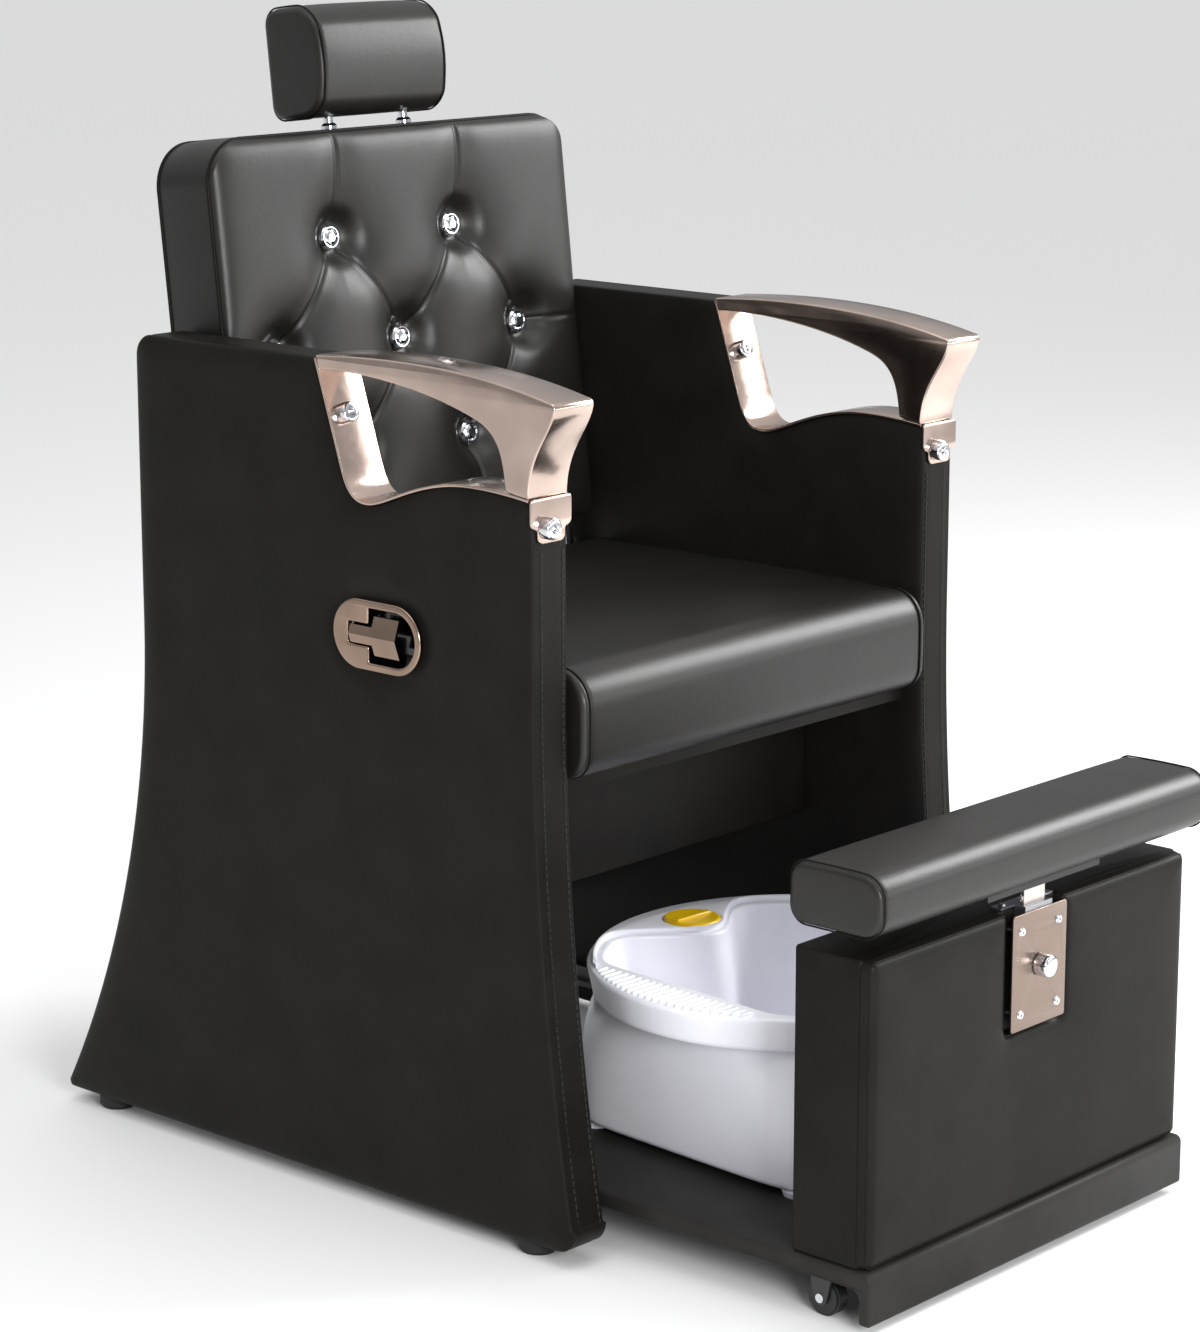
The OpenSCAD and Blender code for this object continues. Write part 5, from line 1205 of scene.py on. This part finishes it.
def basin_controls():
    """Control housing: a raised plate with a round opening, and in it the dial with its diagonal grip. The
    plate fills the rim where the well stands back from it, and tapers out at both ends."""
    b = chair().basin
    centre, way = dial_centre(), heading(RAYS)
    well, outer, limit = well_reach(), rim_reach(5.0), rim_reach(14.0)
    held = np.flatnonzero((way[:, 1] > 0) & (np.abs(well * way[:, 0]) < b.well_x - 4) & (well < limit - 2.0))
    tip = 10
    span = np.arange(held[0] - tip, held[-1] + tip + 1)
    count = np.arange(len(span))
    ends = np.clip(np.minimum(count, count[::-1]) / (2 * tip), 0, 1)
    inner = outer[span] - 0.6 - (outer[span] - well[span] - 5.6) * (ends ** 2 * (3 - 2 * ends))
    front = WELL + way[span] * inner[:, None]
    rear = (WELL + way[span] * outer[span][:, None])[::-1]
    outline = turned(spaced(np.concatenate([front, rear]), 420, closed=True))
    r = b.dial / 2
    hole = arc(centre, r + 0.8, 360, 0, 97)[:-1]
    shape = plate([outline, hole], 9.0, 2.4, lambda q: in_basin(xyz(q[:, 0], q[:, 1], 237 + q[:, 2])))
    make("basin_housing", shape, "white", "basin", smooth=38)
    profile = [(0.01, 240.6), (r - 0.8, 240.6), (r, 241.4), (r, 245.6), (r - 0.5, 246.8), (r - 1.6, 247.6),
               (r - 3.0, 247.9), (r - 5.0, 247.2), (0.01, 247.2)]
    disc, grip = lathe(profile, lambda q: q, 96), rounded_box((-r + 5, -4.5, 244), (r - 5, 4.5, 250), 1.8, 5)
    points, faces = join([disc, grip])
    make("basin_dial_cap", (in_basin(points + [*centre, 0]), faces), "yellow", "dial",
         replaces=["basin_dial"], smooth=38)


# ---------------------------------------------------------------- carried-over parts and stage

def dress_frame():
    """Gives every carried-over node of the frame its own finish or that of its slot."""
    for part in frame["record"]["subparts"]:
        piece = frame["nodes"].get(part["node"])
        if piece is None or piece.type != "MESH":
            continue
        look = finish(NODE_LOOK.get(part["node"], SLOT_LOOK[part["material_slot"]]))
        piece.data.materials.clear()
        piece.data.materials.append(look)


def lamp(name, centre, aim, width, height, power):
    """A soft white rectangular lamp that faces a point."""
    light = bpy.data.lights.new(name, "AREA")
    light.shape, light.size, light.size_y, light.energy = "RECTANGLE", width, height, power
    holder = add(name, light)
    holder.location = centre
    holder.rotation_euler = (Vector(aim) - Vector(centre)).to_track_quat("-Z", "Y").to_euler()


def studio():
    """Pale floor, soft lights and the camera."""
    s = chair().studio
    scene = bpy.context.scene
    size = 60.0
    mesh = bpy.data.meshes.new("studio_floor")
    mesh.from_pydata([(*c, 0) for c in corners_of((-size, -size), (size, size))], [], [(0, 1, 2, 3)])
    mesh.materials.append(material("studio_paper", s.floor, Roughness=0.85, Specular_IOR_Level=0.2)[0])
    add("studio_floor", mesh)
    scene.world = bpy.data.worlds.new("studio_room")
    scene.world.use_nodes = True
    sky = scene.world.node_tree
    back = sky.nodes["Background"]
    way = node(sky, "ShaderNodeTexCoord").outputs["Generated"]
    high = ramp(sky, node(sky, "ShaderNodeSeparateXYZ", Vector=way).outputs[2], 0.15, 0.9)
    feed(sky, back, Color=tint(sky, high, linear("9fa0a2"), linear("ffffff")))
    back.inputs["Strength"].default_value = s.sky
    lamp("strip_right", (2.78, -1.42, 2.28), (0, -0.05, 0.55), 1.2, 1.5, s.key)
    lamp("softbox_right", (2.15, -2.6, 0.9), (0, 0.3, 0.9), 3.0, 0.74, s.soft)
    lamp("top", (-0.3, -0.4, 3.4), (0, -0.1, 0.4), 2.4, 2.4, s.key * 0.25)
    lamp("fill_front", (-1.7, -3.0, 1.3), (0, -0.1, 0.2), 1.2, 1.0, s.fill)
    camera = bpy.data.cameras.new("studio_camera")
    camera.lens, camera.shift_x, camera.clip_end = s.lens, -0.00782, 200
    scene.camera = add("studio_camera", camera)
    scene.camera.location = tuple(v + d for v, d in zip(s.eye, shift()))
    scene.camera.rotation_euler = (math.radians(90 - s.pitch), 0, math.radians(s.yaw - 90))
    scene.view_settings.view_transform = "Standard"


# ---------------------------------------------------------------- add-on

class Piece(bpy.types.Operator):
    """Base of the chair's operators: runs its makers in order."""
    bl_options = {"REGISTER", "UNDO"}
    makers = ()

    def execute(self, context):
        for maker in self.makers:
            maker()
        return {"FINISHED"}


class SPA_OT_frame(Piece):
    """Gives the carried-over parts of the frame their finishes"""
    bl_idname, bl_label = "spa.frame", "Frame finishes"
    makers = (dress_frame,)


class SPA_OT_panels(Piece):
    """Adds the padded side panels and their stitches"""
    bl_idname, bl_label = "spa.panels", "Side panels"
    makers = (lambda: side_panel(-1), lambda: side_panel(1), stitches)


class SPA_OT_arms(Piece):
    """Adds the plated arms, their straps and bolts"""
    bl_idname, bl_label = "spa.arms", "Arms"
    makers = (armrests, straps, bolts)


class SPA_OT_lever(Piece):
    """Adds the surround of the recline lever"""
    bl_idname, bl_label = "spa.lever", "Lever surround"
    makers = (lever_trim,)


class SPA_OT_seat(Piece):
    """Adds the seat cushion"""
    bl_idname, bl_label = "spa.seat", "Seat"
    makers = (seat,)


class SPA_OT_back(Piece):
    """Adds the tufted back and its button stones"""
    bl_idname, bl_label = "spa.back", "Back"
    makers = (back, gems)


class SPA_OT_headrest(Piece):
    """Adds the headrest"""
    bl_idname, bl_label = "spa.headrest", "Headrest"
    makers = (headrest,)


class SPA_OT_footrest(Piece):
    """Adds the footrest pad, its box and lock"""
    bl_idname, bl_label = "spa.footrest", "Footrest"
    makers = (footrest, box_front, boxes, lock)


class SPA_OT_tray(Piece):
    """Adds the leather-covered tray"""
    bl_idname, bl_label = "spa.tray", "Tray"
    makers = (platform,)


class SPA_OT_basin(Piece):
    """Adds the basin's shell, tub and dial"""
    bl_idname, bl_label = "spa.basin", "Basin"
    makers = (basin_shell, basin_tub, basin_controls)


class SPA_OT_studio(Piece):
    """Adds the floor, lights and camera"""
    bl_idname, bl_label = "spa.studio", "Studio"
    makers = (studio,)


OPERATORS = (SPA_OT_frame, SPA_OT_panels, SPA_OT_arms, SPA_OT_lever, SPA_OT_seat, SPA_OT_back,
             SPA_OT_headrest, SPA_OT_footrest, SPA_OT_tray, SPA_OT_basin, SPA_OT_studio)


class SPA_PT_chair(bpy.types.Panel):
    """Sidebar panel with the chair's sizes and its operators"""
    bl_idname, bl_label = "SPA_PT_chair", "Spa Chair"
    bl_space_type, bl_region_type, bl_category = "VIEW_3D", "UI", "Spa Chair"

    def draw(self, context):
        for group in (chair().panel, chair().back, chair().basin, chair().colours, chair().studio):
            box = self.layout.box()
            box.label(text=type(group).__name__)
            for key in group.__annotations__:
                box.prop(group, key)
        for operator in OPERATORS:
            self.layout.operator(operator.bl_idname)


CLASSES = (PanelSizes, BackSizes, FootSizes, Colours, Studio, SpaChair, *OPERATORS, SPA_PT_chair)


def register():
    for each in CLASSES:
        bpy.utils.register_class(each)
    bpy.types.Scene.spa_chair = bpy.props.PointerProperty(type=SpaChair)


def unregister():
    del bpy.types.Scene.spa_chair
    for each in reversed(CLASSES):
        bpy.utils.unregister_class(each)


def main():
    register()
    for operator in OPERATORS:
        group, name = operator.bl_idname.split(".")
        getattr(getattr(bpy.ops, group), name)()


if __name__ == "__main__":
    main()
